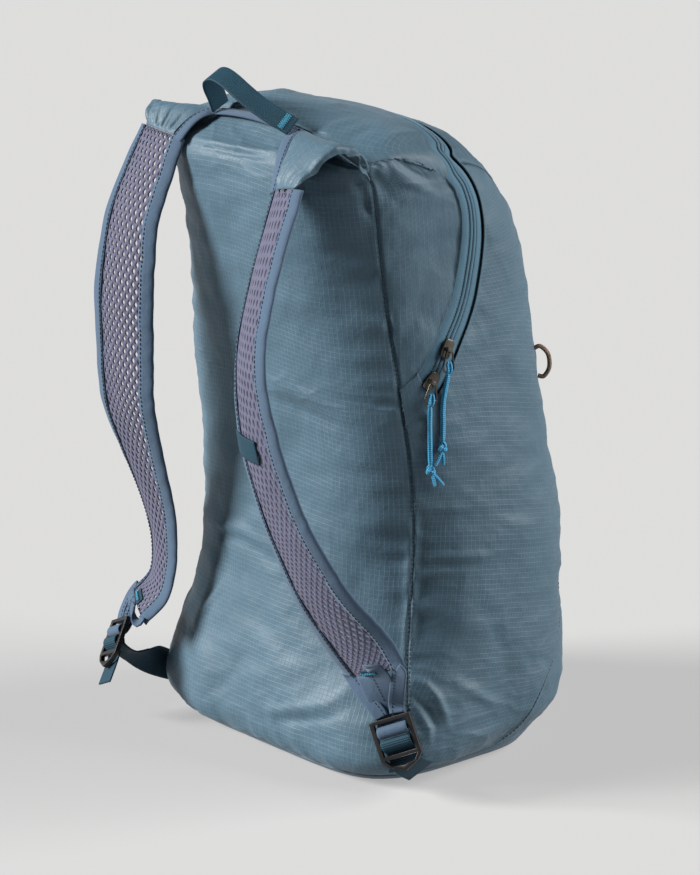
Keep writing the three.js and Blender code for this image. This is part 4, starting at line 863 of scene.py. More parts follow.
def base_cloth():
    lines = [back_edge(0), BASE_SIDE, BASE_FRONT, mirrored(BASE_SIDE)[::-1]]
    rim = np.concatenate([catmull(line, np.linspace(0, 1, (len(line) - 1) * 5 + 1))[:-1] for line in lines])
    edge = body_point(rim)
    middle = np.array([0, (ring("back_y", 0) + ring("front_y", 0)) / 2, 0])
    shares = np.array([1, 0.985, 0.965, 0.94, 0.9, 0.84, 0.7, 0.5, 0.3, 0.15, 0.0])
    rises = np.interp(shares, [0, 0.84, 0.94, 1], [0, 0, 0.3, 1])
    points = mix(middle, edge[None], shares[:, None, None])
    points[..., 2] = edge[None, :, 2] * rises[:, None]
    crease = noise_field(points, (14, 14, 9), 40.0)
    points[..., 2] += np.clip(crease, 0, 1) * 0.5 * rises[:, None]
    inward = unit(middle - edge)[None] * (1.0 * (shares > 0.99))[:, None, None]
    points = points + inward
    mesh = grid_mesh("base_cloth", points[:, ::-1], points[:, ::-1, :2] / 1000, around=True)
    close_up(mesh)
    piece = place_piece("base_cloth", mesh, cloth_square, ["base_panel"])
    return give_wall(piece, CLOTH_WALL)


base_piece = base_cloth()
lowest = min(v.co.z for v in base_piece.data.vertices)
print("base lowest point in mm:", round(lowest * 1000, 2))

# %% [markdown]
# The zip's tapes lie a little lower than the cloth and run under its edge. This kind of zip shows its
# tape outside: the coil is a low double ridge under it, with a dark line of teeth in the middle.

# %% Zip tapes and coil
ALONG_ZIP = np.linspace(0, 1, ZIP_COLUMNS * 9 + 1)


def zip_strip(name, rows, material, replaces):
    """rows are pairs of distance from the zip's middle and height over the bag's surface, in mm"""
    points = []
    for distance, height in rows:
        line = catmull(beside_zip(distance), ALONG_ZIP)
        points.append(body_point(line) + body_outward(line) * height)
    points = np.array(points)
    along = line_lengths(points, 1)[len(rows) // 2]
    across = np.array([distance for distance, height in rows])
    uv = np.stack([np.broadcast_to(across[:, None], points.shape[:2]),
                   np.broadcast_to(along[None], points.shape[:2])], -1) / 1000
    mesh = grid_mesh(name, points, uv)
    piece = place_piece(name, mesh, material, [replaces])
    return give_wall(piece, 0.7)


low_rows = [(-12.2, -2.4), (-10.8, -2.0), (-9.2, -1.3), (-7.5, -0.6), (-5, -0.45), (-2.95, -0.35)]
high_rows = [(2.95, -0.35), (5, -0.45), (7.5, -0.6), (9.2, -1.3), (10.8, -2.0), (12.2, -2.4)]
coil_rows = [
    (-2.85, -0.35), (-2.6, 0.1), (-2.1, 0.42), (-1.5, 0.5), (-0.9, 0.42), (-0.45, 0.1), (-0.2, -0.35),
    (0.2, -0.35), (0.45, 0.1), (0.9, 0.42), (1.5, 0.5), (2.1, 0.42), (2.6, 0.1), (2.85, -0.35),
]
zip_strip("zip_tape_lower_weave", low_rows, zip_tape, "zip_tape_lower")
zip_strip("zip_tape_upper_weave", high_rows, zip_tape, "zip_tape_upper")
zip_strip("zip_coil_ridge", coil_rows, zip_tape, "zip_coil")


def zip_end_tab(name, start, end):
    """A small tab of cloth sewn over each end of the zip"""
    points = []
    for distance in np.linspace(-11.4, 11.4, 19):
        line = catmull(beside_zip(distance), np.linspace(start, end, 25))
        height = 1.15 - 0.5 * (abs(distance) / 11.4) ** 6
        points.append(body_point(line) + body_outward(line) * height)
    points = np.array(points)
    uv = np.stack([line_lengths(points, 1), line_lengths(points, 0)], -1) / 1000
    piece = place_piece(name, grid_mesh(name, points, uv), cloth_square)
    return give_wall(piece, 0.7)


zip_end_tab("zip_end_tab_right", 0.002, 0.033)
zip_end_tab("zip_end_tab_left", 0.967, 0.998)


# %% [markdown]
# Stitches are short threads, one after another along a line. One small shape is worked out, and every
# stitch is a copy of it in the same mesh.

# %% Stitches
def stitches(name, points, normals, material, pitch=3.0, length=2.2, radius=0.3, lift=0.12):
    points = np.asarray(points, float)
    lengths = line_lengths(points)
    count = max(int(lengths[-1] / pitch), 1)
    middle = (np.arange(count) + 0.5) * lengths[-1] / count
    centre = np.stack([np.interp(middle, lengths, points[:, k]) for k in range(3)], -1)
    ahead = np.stack([np.interp(middle + 0.6, lengths, points[:, k]) for k in range(3)], -1)
    behind = np.stack([np.interp(middle - 0.6, lengths, points[:, k]) for k in range(3)], -1)
    normal = unit(np.stack([np.interp(middle, lengths, np.asarray(normals)[:, k]) for k in range(3)], -1))
    tangent = unit(ahead - behind)
    side = unit(np.cross(tangent, normal))
    normal = np.cross(side, tangent)
    centre = centre + normal * lift
    turns = np.arange(6) * np.pi / 3
    rings = []
    for along, width, sink in [(-0.5, 0.35, 0.35), (-0.3, 1, 0), (0.3, 1, 0), (0.5, 0.35, 0.35)]:
        for turn in turns:
            rings.append(centre + tangent * along * length + side * radius * width * math.cos(turn)
                         + normal * (radius * width * math.sin(turn) - sink * radius))
    faces = []
    for k in range(count):
        base = k * 24
        for j in range(3):
            for i in range(6):
                n = (i + 1) % 6
                faces.append((base + j * 6 + i, base + j * 6 + n, base + j * 6 + 6 + n, base + j * 6 + 6 + i))
        faces.append(tuple(base + i for i in reversed(range(6))))
        faces.append(tuple(base + 18 + i for i in range(6)))
    return place_piece(name, loose_mesh(name, np.stack(rings, 1).reshape(-1, 3), faces), material)


def stitch_both(name, line, face, lift, pitch, length, radius):
    """The same row of stitches on both faces of a tape"""
    stitches(name + "_stitches", line + face * lift, face, dark_thread, pitch, length, radius, 0.0)
    stitches(name + "_under_stitches", line - face * lift, -face, dark_thread, pitch, length, radius, 0.0)


def body_stitches(name, places, lift=0.1, **sizes):
    return stitches(name, body_point(places), body_outward(places), dark_thread, lift=lift, **sizes)


fine_share = np.linspace(0.012, 0.985, 300)
seam_fine = catmull(SEAM_WHOLE, fine_share)
front_fine = catmull(FRONT_SEAM_LINE, fine_share)
body_stitches("seam_stitches_right", seam_fine)
body_stitches("seam_stitches_left", mirrored(seam_fine))
body_stitches("front_stitches_right", front_fine)
body_stitches("front_stitches_left", mirrored(front_fine))
teeth_line = catmull(beside_zip(0), ALONG_ZIP)
body_stitches("zip_teeth", teeth_line, lift=0.0, pitch=1.3, length=0.85, radius=0.4)
for hand, distance in (("low", -3.6), ("high", 3.6)):
    row = catmull(beside_zip(distance), ALONG_ZIP)
    body_stitches("zip_rows_" + hand, row, lift=-0.38, pitch=1.9, length=1.2, radius=0.14)


# %% [markdown]
# Straps follow a table of stations: a place as shares of the bag's size, and the turn and lean of the
# strap's width. From it comes any point of the strap, by its share down and across.

# %% Places on the straps
STRAPS = {
    RIGHT: np.array([
        [0.598, -0.610, 0.920, -20, 14], [0.636, -0.729, 0.794, -22, 10], [0.652, -0.786, 0.683, -20, 6],
        [0.674, -0.762, 0.562, -10, 3], [0.712, -0.700, 0.454, -6, 7], [0.758, -0.643, 0.381, -1, 10],
        [0.803, -0.576, 0.314, 5, 16], [0.864, -0.481, 0.243, 12, 21], [0.902, -0.433, 0.202, 8, 16],
    ]),
    LEFT: np.array([
        [0.568, -0.514, 0.941, 11, 7], [0.583, -0.571, 0.883, 4, 3], [0.598, -0.624, 0.819, 0, 3],
        [0.606, -0.648, 0.752, -4, 2], [0.614, -0.657, 0.688, -7, 2], [0.621, -0.652, 0.628, -6, 3],
        [0.636, -0.643, 0.562, -4, 4], [0.652, -0.619, 0.505, -3, 4], [0.674, -0.562, 0.433, 3, 7],
        [0.705, -0.495, 0.353, 10, 11], [0.742, -0.448, 0.273, 21, 11], [0.776, -0.450, 0.210, 27, 6],
        [0.846, -0.493, 0.172, 25, 2],
    ]),
}
HANDS = {RIGHT: "right", LEFT: "left"}


def strap_centre(side, share):
    table = catmull(STRAPS[side], share)
    return table[..., :3] * np.array([side * BAG_WIDTH / 2, BAG_DEPTH, BAG_HEIGHT])


def strap_frame(side, share):
    share = np.asarray(share, float)
    high = strap_centre(side, np.minimum(share + 0.01, 1))
    low = strap_centre(side, np.maximum(share - 0.01, 0))
    tangent = unit(high - low)
    table = catmull(STRAPS[side], share)
    turn = np.radians(table[..., 3])
    lean = np.radians(table[..., 4])
    across = np.stack([
        side * np.cos(lean) * np.cos(turn), np.cos(lean) * np.sin(turn), np.sin(lean)], -1)
    across = unit(across - tangent * dot(across, tangent)[..., None])
    face = unit(np.cross(tangent, across) * side)
    return tangent, across, face


def strap_point(side, share, width, height=0.0):
    share, width, height = np.broadcast_arrays(share, width, height)
    tangent, across, face = strap_frame(side, share)
    arch = STRAP_ARCH * (1 - (2 * width - 1) ** 2)
    return (strap_centre(side, share) + across * ((width - 0.5) * STRAP_WIDTH)[..., None]
            + face * (arch + height)[..., None])


def strap_length(side):
    return line_lengths(strap_centre(side, np.linspace(0, 1, 61)))[-1]


print("strap lengths in mm:", {HANDS[side]: round(strap_length(side)) for side in (RIGHT, LEFT)})

# %% [markdown]
# The net is a lattice of slanting strands round diamond openings. Each cell is a ring of small faces
# between the diamond and its rounded hole; Solidify then gives the strands their thickness.

# %% Strap nets
CELL_ACROSS = 5.0
CELL_ALONG = 9.2
HOLE = [0.46, 0.54] * 4


def net_cloth(side):
    length = strap_length(side)
    rows = int(length / (CELL_ALONG / 2))
    rows -= rows % 2
    columns = 10
    places = []
    known = {}

    def corner(i, j):
        key = (round(i * 4), round(j * 4))
        if key not in known:
            known[key] = len(places)
            places.append((i, j))
        return known[key]

    faces = []
    for j in range(rows + 1):
        for i in range(-columns + 1, columns):
            if (i + j) % 2 == 0:
                continue
            if j in (0, rows):
                faces.append((corner(i - 1, j), corner(i + 1, j), corner(i, j + (1 if j == 0 else -1))))
                continue
            ends = [(i + 1, j), (i, j + 1), (i - 1, j), (i, j - 1)]
            rim = []
            for k in range(4):
                here, after = ends[k], ends[(k + 1) % 4]
                rim += [here, ((here[0] + after[0]) / 2, (here[1] + after[1]) / 2)]
            outer = [corner(*place) for place in rim]
            inner = []
            for share, (a, b) in zip(HOLE, rim):
                inner.append(len(places))
                places.append((mix(i, a, share), mix(j, b, share)))
            for k in range(8):
                n = (k + 1) % 8
                faces.append((outer[k], outer[n], inner[n], inner[k]))
    spots = np.array(places)
    width = 0.5 + spots[:, 0] * CELL_ACROSS / 2 / STRAP_WIDTH
    share = spots[:, 1] / rows
    points = strap_point(side, share, width)
    name = f"net_{HANDS[side]}"
    mesh = loose_mesh(name, points, faces)
    piece = place_piece(name, mesh, net_knit, [f"strap_{name}"])
    return give_wall(piece, 0.9, 0.0)


for side in (RIGHT, LEFT):
    print(HANDS[side], "net faces:", len(net_cloth(side).data.polygons))


# %% [markdown]
# A soft tape is folded over each edge of the net and sewn through. Its section is drawn once as a flat
# loop of points, swept down the strap, and given a slight unevenness, because sewn tape never runs true.

# %% Folded tapes of the straps
FOLDED_TAPE = np.array([
    [10.0, -1.25], [7.0, -1.4], [3.6, -1.45], [1.4, -1.3], [0.4, -0.75], [0.0, 0.0], [0.4, 0.75], [1.4, 1.3],
    [3.6, 1.45], [7.0, 1.4], [10.0, 1.25], [10.0, 0.72], [5.0, 0.85], [1.6, 0.8], [1.0, 0.0], [1.6, -0.8],
    [5.0, -0.85], [10.0, -0.72],
])


def capped(mesh):
    """Close the open ends of a swept piece and point every face outwards"""
    shape = bmesh.new()
    shape.from_mesh(mesh)
    open_edges = [edge for edge in shape.edges if edge.is_boundary]
    if open_edges:
        bmesh.ops.holes_fill(shape, edges=open_edges)
    bmesh.ops.recalc_face_normals(shape, faces=shape.faces)
    shape.to_mesh(mesh)
    shape.free()


def swept(name, points, uv, material, replaces=()):
    mesh = grid_mesh(name, points, uv, around=True)
    capped(mesh)
    return place_piece(name, mesh, material, replaces)


def ring_uv(points):
    """Across and along measures in metres for a swept ring"""
    closed = np.concatenate([points, points[:, :1]], 1)
    around = line_lengths(closed, 1)[:, :-1]
    along = line_lengths(points, 0)
    return np.stack([around, np.broadcast_to(along[:, :1], around.shape)], -1) / 1000


def folded_tape(side, outer):
    share = np.linspace(0, 1, 190)
    length = strap_length(side)
    wave = noise_field(np.stack([share * length, share * 0, share * 0], -1), 17.0, 3.3 + side + 7 * outer)
    squeeze = noise_field(np.stack([share * length, share * 0, share * 0], -1), 8.0, 9.1 + side)
    reach = FOLDED_TAPE[None, :, 0] * (1 + 0.05 * wave[:, None]) + 0.35 * squeeze[:, None]
    height = FOLDED_TAPE[None, :, 1] * (1 + 0.16 * squeeze[:, None]) + 0.35 * wave[:, None]
    width = reach / STRAP_WIDTH
    points = strap_point(side, share[:, None], 1 - width if outer else width, height)
    name = f"binding_{'outer' if outer else 'inner'}_{HANDS[side]}"
    swept(name + "_tape", points, ring_uv(points), binding_tape, [name])
    seam_share = 1 - 0.155 if outer else 0.155
    row = strap_point(side, share, seam_share, 1.55 + 0.35 * wave)
    face = strap_frame(side, share)[2]
    stitches(name + "_stitches", row, face, dark_thread, 3.1, 2.2, 0.26, 0.0)
    under = strap_point(side, share, seam_share, -1.5 + 0.35 * wave)
    stitches(name + "_under_stitches", under, -face, dark_thread, 3.1, 2.2, 0.26, 0.0)


for side in (RIGHT, LEFT):
    for outer in (False, True):
        folded_tape(side, outer)
print("strap tapes swept")


# %% [markdown]
# Webbing and flat tapes are bands: a centre line, a direction across, and a width at each station. The
# section is a flat rounded loop, and the UV map runs across and along the band in metres.

# %% Bands
def band_points(centres, across, widths, wall, step=1.2):
    centres = np.asarray(centres, float)
    across = unit(across)
    lengths = line_lengths(centres)
    stations = np.linspace(0, 1, len(centres))
    count = max(int(lengths[-1] / step), 8)
    wanted = np.interp(np.linspace(0, lengths[-1], count), lengths, stations)
    line = catmull(centres, wanted)
    side = unit(catmull(across, wanted))
    width = catmull(np.broadcast_to(np.asarray(widths, float), (len(centres),)), wanted)
    tangent = unit(np.gradient(line, axis=0))
    side = unit(side - tangent * dot(side, tangent)[:, None])
    face = np.cross(side, tangent)
    spots = [(-1, -0.5), (-0.96, -0.9), (-0.8, -1), (-0.4, -1), (0, -1), (0.4, -1), (0.8, -1), (0.96, -0.9),
             (1, -0.5), (1, 0.5), (0.96, 0.9), (0.8, 1), (0.4, 1), (0, 1), (-0.4, 1), (-0.8, 1),
             (-0.96, 0.9), (-1, 0.5)]
    rings = []
    for a, b in spots:
        rings.append(line + side * (a * width / 2)[:, None] + face * (b * wall / 2))
    points = np.stack(rings, 1)
    along = line_lengths(line)
    u = np.array([a for a, b in spots]) * np.mean(width) / 2
    uv = np.stack([np.broadcast_to(u[None], points.shape[:2]),
                   np.broadcast_to(along[:, None], points.shape[:2])], -1) / 1000
    return points, uv, line, side, face


def band(name, centres, across, widths, wall, material, replaces=(), step=1.2):
    points, uv, line, side, face = band_points(centres, across, widths, wall, step)
    swept(name, points, uv, material, replaces)
    return line, side, face


# %% [markdown]
# The haul loop stands up at the neck. Its band follows the real curve: steep on the left, long and
# slanting on the right, where a bar of bright stitches holds it down.

# %% Haul loop
HAUL_POINTS = np.array([
    [-0.94, 0.00, 0.00], [-0.91, 0.32, 0.22], [-0.84, 0.60, 0.50], [-0.71, 0.83, 0.75], [-0.53, 0.97, 0.88],
    [-0.34, 1.00, 0.92], [-0.12, 0.90, 0.90], [0.14, 0.70, 0.84], [0.40, 0.49, 0.74], [0.66, 0.29, 0.58],
    [0.88, 0.12, 0.36], [1.00, 0.02, 0.22],
])
WING_START_SHARE = 0.44


def crest_seat(share):
    bearing = ring_bearing(share, catmull(RING_ROWS[:, 5], 1.0))
    return body_point([bearing, 1.0])


seat = crest_seat(0.9 * (WING_START_SHARE - 0.02))
haul_line = np.stack([
    HAUL_POINTS[:, 0] * 41,
    seat[1] - 3.5 - HAUL_POINTS[:, 2] * 20,
    seat[2] + 2.2 + 3.2 * GAP + HAUL_POINTS[:, 1] * 27,
], -1)
haul_across = np.tile([0.05, 0.87, 0.48], (len(haul_line), 1))
line, across, face = band(
    "haul_loop_webbing", haul_line, haul_across, 14, 1.5, webbing, ["haul_loop"], 0.8)


def bar_of_stitches(name, centre, along, across, normal, width, depth=2.4):
    """A dense zigzag of short threads that bars a join"""
    centre, along, across, normal = (np.asarray(v, float) for v in (centre, along, across, normal))
    count = max(int(width / 0.75), 3)
    route = []
    for k in range(count + 1):
        swing = depth / 2 if k % 2 else -depth / 2
        route.append(centre + across * (k / count - 0.5) * width + along * swing)
    route = np.array(route)
    normals = np.tile(normal, (len(route), 1))
    return stitches(name, route, normals, bright_thread, 0.62, 0.72, 0.24, 0.1)


for name, index in (("left", 3), ("right", -8)):
    turned = face[index] * (1 if face[index][2] > 0 else -1)
    tangent = unit(np.cross(across[index], face[index]))
    for shift in (0, 1.7):
        spot = line[index] + turned * 0.95 + tangent * shift
        bar_of_stitches(f"haul_bar_{name}_1_{int(shift * 10)}", spot, tangent, across[index], turned, 11.5)
print("haul loop length in mm:", line_lengths(line)[-1].round())

# %% [markdown]
# Two wings of cloth run from the neck crest out over the shoulders to the straps. They are gathered:
# smooth at the crest, ruffled along the outer edge and where the strap is sewn on.

# %% Shoulder wings
TAPE_SHARE = STRAP_TAPE_WIDTH / STRAP_WIDTH
WING_LIFT = {RIGHT: 25, LEFT: 15}
WING_LIFTS = [0.36, 0.55, 0.74, 0.87, 1]
WING_OUTS = [0, 0, 0, 0.2, 0.5]


def wing_start(side, share):
    corner = 0.75
    if share <= corner:
        seam = seam_place(1.0)
        span = body_point(seam)[0] / ring("half_width", 1.0)
        across = mix(WING_START_SHARE, span, share / corner)
        place = np.array([ring_bearing(across, catmull(RING_ROWS[:, 5], 1.0)), 1.0])
    else:
        place = seam_place(mix(1, 0.74, (share - corner) / (1 - corner)))
    point = body_point(place) + body_outward(place) * 1.6
    return point * np.array([side, 1, 1])


def wing_middle(side, across, along):
    start = wing_start(side, across)
    hem = strap_point(side, 0.0, mix(TAPE_SHARE, 1 - TAPE_SHARE, across))
    rise = math.sin(math.pi * along) ** 0.85 * WING_LIFT[side]
    shift = np.array([side * rise * catmull(WING_OUTS, across), 0, rise * catmull(WING_LIFTS, across)])
    return mix(start, hem, along) + shift


def wing_cloth(side):
    columns = np.linspace(0, 1, 81)
    rows = np.linspace(0, 1, 47)
    points = np.array([[wing_middle(side, c, r) for c in columns] for r in rows])
    smooth = points.copy()
    for repeat in range(3):
        smooth[:, 1:-1] = (smooth[:, :-2] + 2 * smooth[:, 1:-1] + smooth[:, 2:]) / 4
    points = smooth
    normal = unit(np.cross(np.gradient(points, axis=1), np.gradient(points, axis=0)))
    normal *= np.where(normal[..., 2:] < 0, -1, 1)
    outer = (1 - columns)[None, :] * 60
    hem = (1 - rows)[:, None] * 45
    ripple = noise_field(np.stack(np.broadcast_arrays(rows[:, None] * 45 / 5.0, outer / 30, outer * 0), -1),
                         1.0, 2.5 + side)
    gather = noise_field(np.stack(np.broadcast_arrays(outer / 4.5, hem / 26, hem * 0), -1), 1.0, 7.5 + side)
    broad = noise_field(points, 22.0, 4.0 + side)
    edge_fade = ease(rows, 0.0, 0.12)[:, None] * ease(1 - rows, 0.0, 0.08)[:, None]
    lift = (2.2 * ripple * np.exp(-outer / 10) + 1.9 * gather * np.exp(-hem / 12) + 1.2 * broad) * edge_fade
    curl = -2.6 * np.exp(-(outer / 2.6) ** 2) * edge_fade
    moved = points + normal * (lift + curl)[..., None]
    hem_tangent = strap_frame(side, 0.0)[0]
    moved[-1] = moved[-1] - hem_tangent * 0.3
    across = line_lengths(moved, 1)
    down = line_lengths(moved, 0)
    uv = np.stack([across, down], -1) / 1000
    name = f"wing_{HANDS[side]}"
    if side == RIGHT:
        moved, uv = moved[:, ::-1], uv[:, ::-1]
    mesh = grid_mesh(name + "_cloth", moved, uv)
    piece = place_piece(name + "_cloth", mesh, cloth_bias, [name])
    give_wall(piece, 1.0, 0.0)
    return across[:, -1].max().round(), down[-1].max().round()


for side in (RIGHT, LEFT):
    breadth, drop = wing_cloth(side)
    print(HANDS[side], "wing in mm:", breadth, "by", drop)

# %% [markdown]
# The neck is bound with a folded tape that runs up one strap's inner edge, along the crest and down the
# other. Its stations come from the wings' own inner edges.

# %% Neck binding
NECK_TAPE_WIDTH = 7.5
NECK_TAPE_WALL = 2.2


def neck_side(side):
    stations = []
    for share in (0, 0.34, 0.68, 0.9):
        edge = crest_seat(share * (WING_START_SHARE - 0.02)) + CREST_LEAN * (NECK_TAPE_WALL / 2 + GAP)
        edge = edge * np.array([side, 1, 1]) - np.array([0, GAP, 0])
        out = unit([-0.5 * side * share ** 3, -0.93, -0.25])
        stations.append((edge, out, NECK_TAPE_WIDTH))
    for j in range(6):
        along = j / 5
        edge = wing_middle(side, 0, along)
        inward = unit(edge - wing_middle(side, 1 / 8, along))
        hem_out = -strap_frame(side, 0.0)[1]
        out = unit(mix(unit([-0.62 * side, -0.72, -0.3]), hem_out, float(ease(along, 0, 1))))
        stations.append((edge + inward * 0.7, out, mix(NECK_TAPE_WIDTH, STRAP_TAPE_WIDTH, along)))
    return stations


neck = neck_side(LEFT)[:0:-1] + neck_side(RIGHT)
edges = np.array([station[0] for station in neck])
outs = np.array([station[1] for station in neck])
widths = np.array([station[2] for station in neck])
shares = np.linspace(0, 1, 150)
edge_line = catmull(edges, shares)
tangent = unit(np.gradient(edge_line, axis=0))
out_line = unit(catmull(outs, shares))
out_line = unit(out_line - tangent * dot(out_line, tangent)[:, None])
face_line = np.cross(tangent, out_line)
wide = catmull(widths, shares)
section = np.array([[1, -0.5], [0.7, -1], [0.3, -1], [0.05, -0.85], [-0.02, 0], [0.05, 0.85], [0.3, 1],
                    [0.7, 1], [1, 0.5], [1.04, 0]])
wobble = noise_field(edge_line, 12.0, 6.0)
points = (edge_line[:, None] + out_line[:, None] * (section[None, :, :1] * wide[:, None, None])
          + face_line[:, None] * (section[None, :, 1:] * (NECK_TAPE_WALL / 2 + 0.15 * wobble[:, None, None])))
swept("neck_binding_tape", points, ring_uv(points), binding_tape, ["neck_binding"])
row = edge_line + out_line * (wide * 0.2)[:, None]
stitch_both("neck", row, face_line, NECK_TAPE_WALL / 2 + 0.1, 3.0, 2.1, 0.24)
print("neck binding length in mm:", line_lengths(edge_line)[-1].round())

# %% [markdown]
# Small pieces lie over the straps: a stitched patch at each strap's end, and a plain folded tape on the
# right strap. Each is a little sheet that follows the strap's arch.

# %% Patches and plain label tape
def over_strap(name, side, start, end, widths, height, wall, material, replaces):
    share = np.linspace(start, end, 14)[:, None]
    width = np.linspace(widths[0], widths[1], 18)[None, :]
    points = strap_point(side, share, width, height)
    across = line_lengths(points, 1)
    down = line_lengths(points, 0)
    mesh = grid_mesh(name, points, np.stack([down, across], -1) / 1000)
    piece = place_piece(name, mesh, material, replaces)
    return give_wall(piece, wall, 1.0 if side == RIGHT else -1.0)


for side in (RIGHT, LEFT):
    length = strap_length(side)
    end = 1 - 1.5 / length
    half = 7.5 / STRAP_WIDTH
    over_strap(f"patch_{HANDS[side]}", side, end - 10 / length, end, (0.5 - half, 0.5 + half), 1.3, 0.9,
               webbing, [f"bartack_patch_{HANDS[side]}"])
    middle = end - 5 / length
    spot = strap_point(side, middle, 0.5, 2.3)
    tangent, across, face = strap_frame(side, middle)
    bar_of_stitches(f"patch_bar_{HANDS[side]}", spot, tangent, across, face, 12.5, depth=1.6)

label_start = 0.362
label_end = label_start + 13 / strap_length(RIGHT)
over_strap("label_tape_plain", RIGHT, label_start, label_end, (0.01, 33 / STRAP_WIDTH), 2.3, 0.8,
           webbing, ["label_tape"])


# %% [markdown]
# The ladder-lock buckles each have a place and two directions. A matrix made from them carries
# anything drawn in the buckle's own flat frame to its place on the bag.

# %% Buckle frames and the bands through them
BUCKLES = {
    RIGHT: ((1.015, -0.405, 0.094), (0.762, 0.513, 0.375), (-0.406, -0.064, 0.911)),
    LEFT: ((0.894, -0.586, 0.117), (0.892, -0.213, 0.40), (-0.218, 0.574, 0.79)),
}


def buckle_frame(side):
    centre, across, up = BUCKLES[side]
    y_axis = unit(up)
    x_axis = unit(np.array(across) - y_axis * dot(np.array(across), y_axis))
    z_axis = np.cross(x_axis, y_axis)
    middle = np.array(centre) * [side * BAG_WIDTH / 2, BAG_DEPTH, BAG_HEIGHT]
    return middle, x_axis, y_axis, z_axis


def in_buckle(side, places):
    middle, x_axis, y_axis, z_axis = buckle_frame(side)
    places = np.asarray(places, float)
    return middle + places[:, :1] * y_axis + places[:, 1:] * z_axis


TONGUE_ROUTE = [
    [24, -2.7], [17, -3.1], [13.4, -2.5], [10.6, 2.3], [9, 3], [7.2, 3.1], [5.3, 1.5], [5.3, -1.5],
    [7, -3.3], [12, -4.7], [19, -5.1],
]
WEBBING_ROUTE = [
    [-0.6, -4.6], [2.5, -2.7], [3, 0], [2.5, 2.6], [0.2, 3.1], [-2, 2.5], [-4, 0], [-5.9, -2.5], [-9, -3.5],
]
WEBBING_ENDS = {
    RIGHT: (0.05, 0.1, (0.6, 0.7, 0.3), [[-9, -9]], [[-14.5, -5], [-19, -12], [-23.5, -24.5]],
            (0.42, 0.74, 0.52)),
    LEFT: (0.07, 0.9, None, [[-2.5, -11]], [[-17, -3.7], [-29, -3.4]], (0.892, -0.213, 0.40)),
}
TONGUE_STARTS = {RIGHT: (0.5, 0.6, 4), LEFT: (0.62, 0.4, 1)}


def strap_tongue(side):
    tangent, across, face = strap_frame(side, 1.0)
    place, share, taper = TONGUE_STARTS[side]
    span = share * STRAP_WIDTH
    start = strap_point(side, 1.0, place) + tangent * GAP
    plain = across * side
    route = in_buckle(side, TONGUE_ROUTE)
    centres = np.concatenate([[start, start + tangent * 3], route])
    x_axis = buckle_frame(side)[1]
    directions = np.concatenate([[plain, plain], np.tile(x_axis, (len(route), 1))])
    widths = np.array([span, span - taper] + [WEBBING_WIDTH] * len(route))
    name = f"strap_tongue_{HANDS[side]}"
    line, side_line, face_line = band(
        name + "_tape", centres, directions, widths, 1.2, binding_tape, [name], 1.0)
    third = len(line) // 3
    stitch_both(name, line[:third], face_line[:third], 0.75, 2.6, 1.8, 0.26)


def lower_webbing(side):
    height, lift, across, entry, tail, tail_across = WEBBING_ENDS[side]
    place = seam_place(height)
    flip = np.array([side, 1, 1])
    seat = (body_point(place) + body_outward(place) * (0.65 + GAP + lift)) * flip
    seam_up = (body_point(seam_place(height + 0.03)) - body_point(seam_place(height - 0.03))) * flip
    first = unit(seam_up if across is None else across)
    x_axis = buckle_frame(side)[1]
    route = in_buckle(side, entry + WEBBING_ROUTE)
    lead_shares = np.array([0, 0.25, 0.5, 0.75])[:, None]
    lead = mix(seat, route[0], lead_shares)
    tail_line = in_buckle(side, tail)
    tail_share = ((np.arange(len(tail)) + 1) / len(tail))[:, None]
    directions = np.concatenate([
        mix(first, x_axis, lead_shares), np.tile(x_axis, (len(route), 1)),
        mix(x_axis, unit(tail_across), tail_share)])
    name = f"lower_webbing_{HANDS[side]}"
    line, side_line, face_line = band(
        name + "_band", np.concatenate([lead, route, tail_line]), directions, WEBBING_WIDTH, 1.3,
        webbing, [name], 0.9)
    return line


def strap_end_tape(side, outer):
    """The folded tape runs on past the net, over the tongue, and narrows in to the buckle"""
    hand = side if outer else -side
    width = 1 - 5.2 / STRAP_WIDTH if outer else 5.2 / STRAP_WIDTH
    tangent, across, face = strap_frame(side, 1.0)
    begin = strap_point(side, 1 - 3 / strap_length(side), width, 0.9)
    edge = strap_point(side, 1.0, width, 0.9) + tangent * 2.5
    middle, x_axis, y_axis, z_axis = buckle_frame(side)
    top = middle + x_axis * hand * 5.6 + y_axis * 18.3 - z_axis * 1.5
    above = middle + x_axis * hand * 7.0 + y_axis * 24 - z_axis * 1.2
    centres = np.array([begin, edge, mix(edge, above, 0.5) + face * 0.6, above, top])
    shares = np.array([0, 0.1, 0.5, 0.85, 1])[:, None]
    directions = mix(across * side, x_axis, shares)
    name = f"strap_end_{'outer' if outer else 'inner'}_{HANDS[side]}"
    line, side_line, face_line = band(
        name + "_tape", centres, directions, [10, 10, 10.4, 10.4, 10.2], 1.7, binding_tape)
    turned = face_line * np.where(dot(face_line, face) < 0, -1, 1)[:, None]
    row = line - side_line * (2.6 * hand) + turned * 1.0
    stitches(name + "_stitches", row, turned, dark_thread, 2.8, 1.9, 0.26, 0.0)


for side in (RIGHT, LEFT):
    strap_tongue(side)
    strap_end_tape(side, False)
    strap_end_tape(side, True)
    line = lower_webbing(side)
    print(HANDS[side], "webbing length in mm:", line_lengths(line)[-1].round())

# %% [markdown]
# Hard pieces are modelled as by hand, from a plain shape that is cut, inset and extruded. These helpers
# start a shape, pick some of its faces, edges or points, cut it, and put the finished piece in its place.

# %% Modelling helpers
def start_editing(piece):
    bpy.ops.object.select_all(action="DESELECT")
    bpy.context.view_layer.objects.active = piece
    piece.select_set(True)
    bpy.ops.object.mode_set(mode="EDIT")
    bpy.ops.mesh.select_all(action="DESELECT")


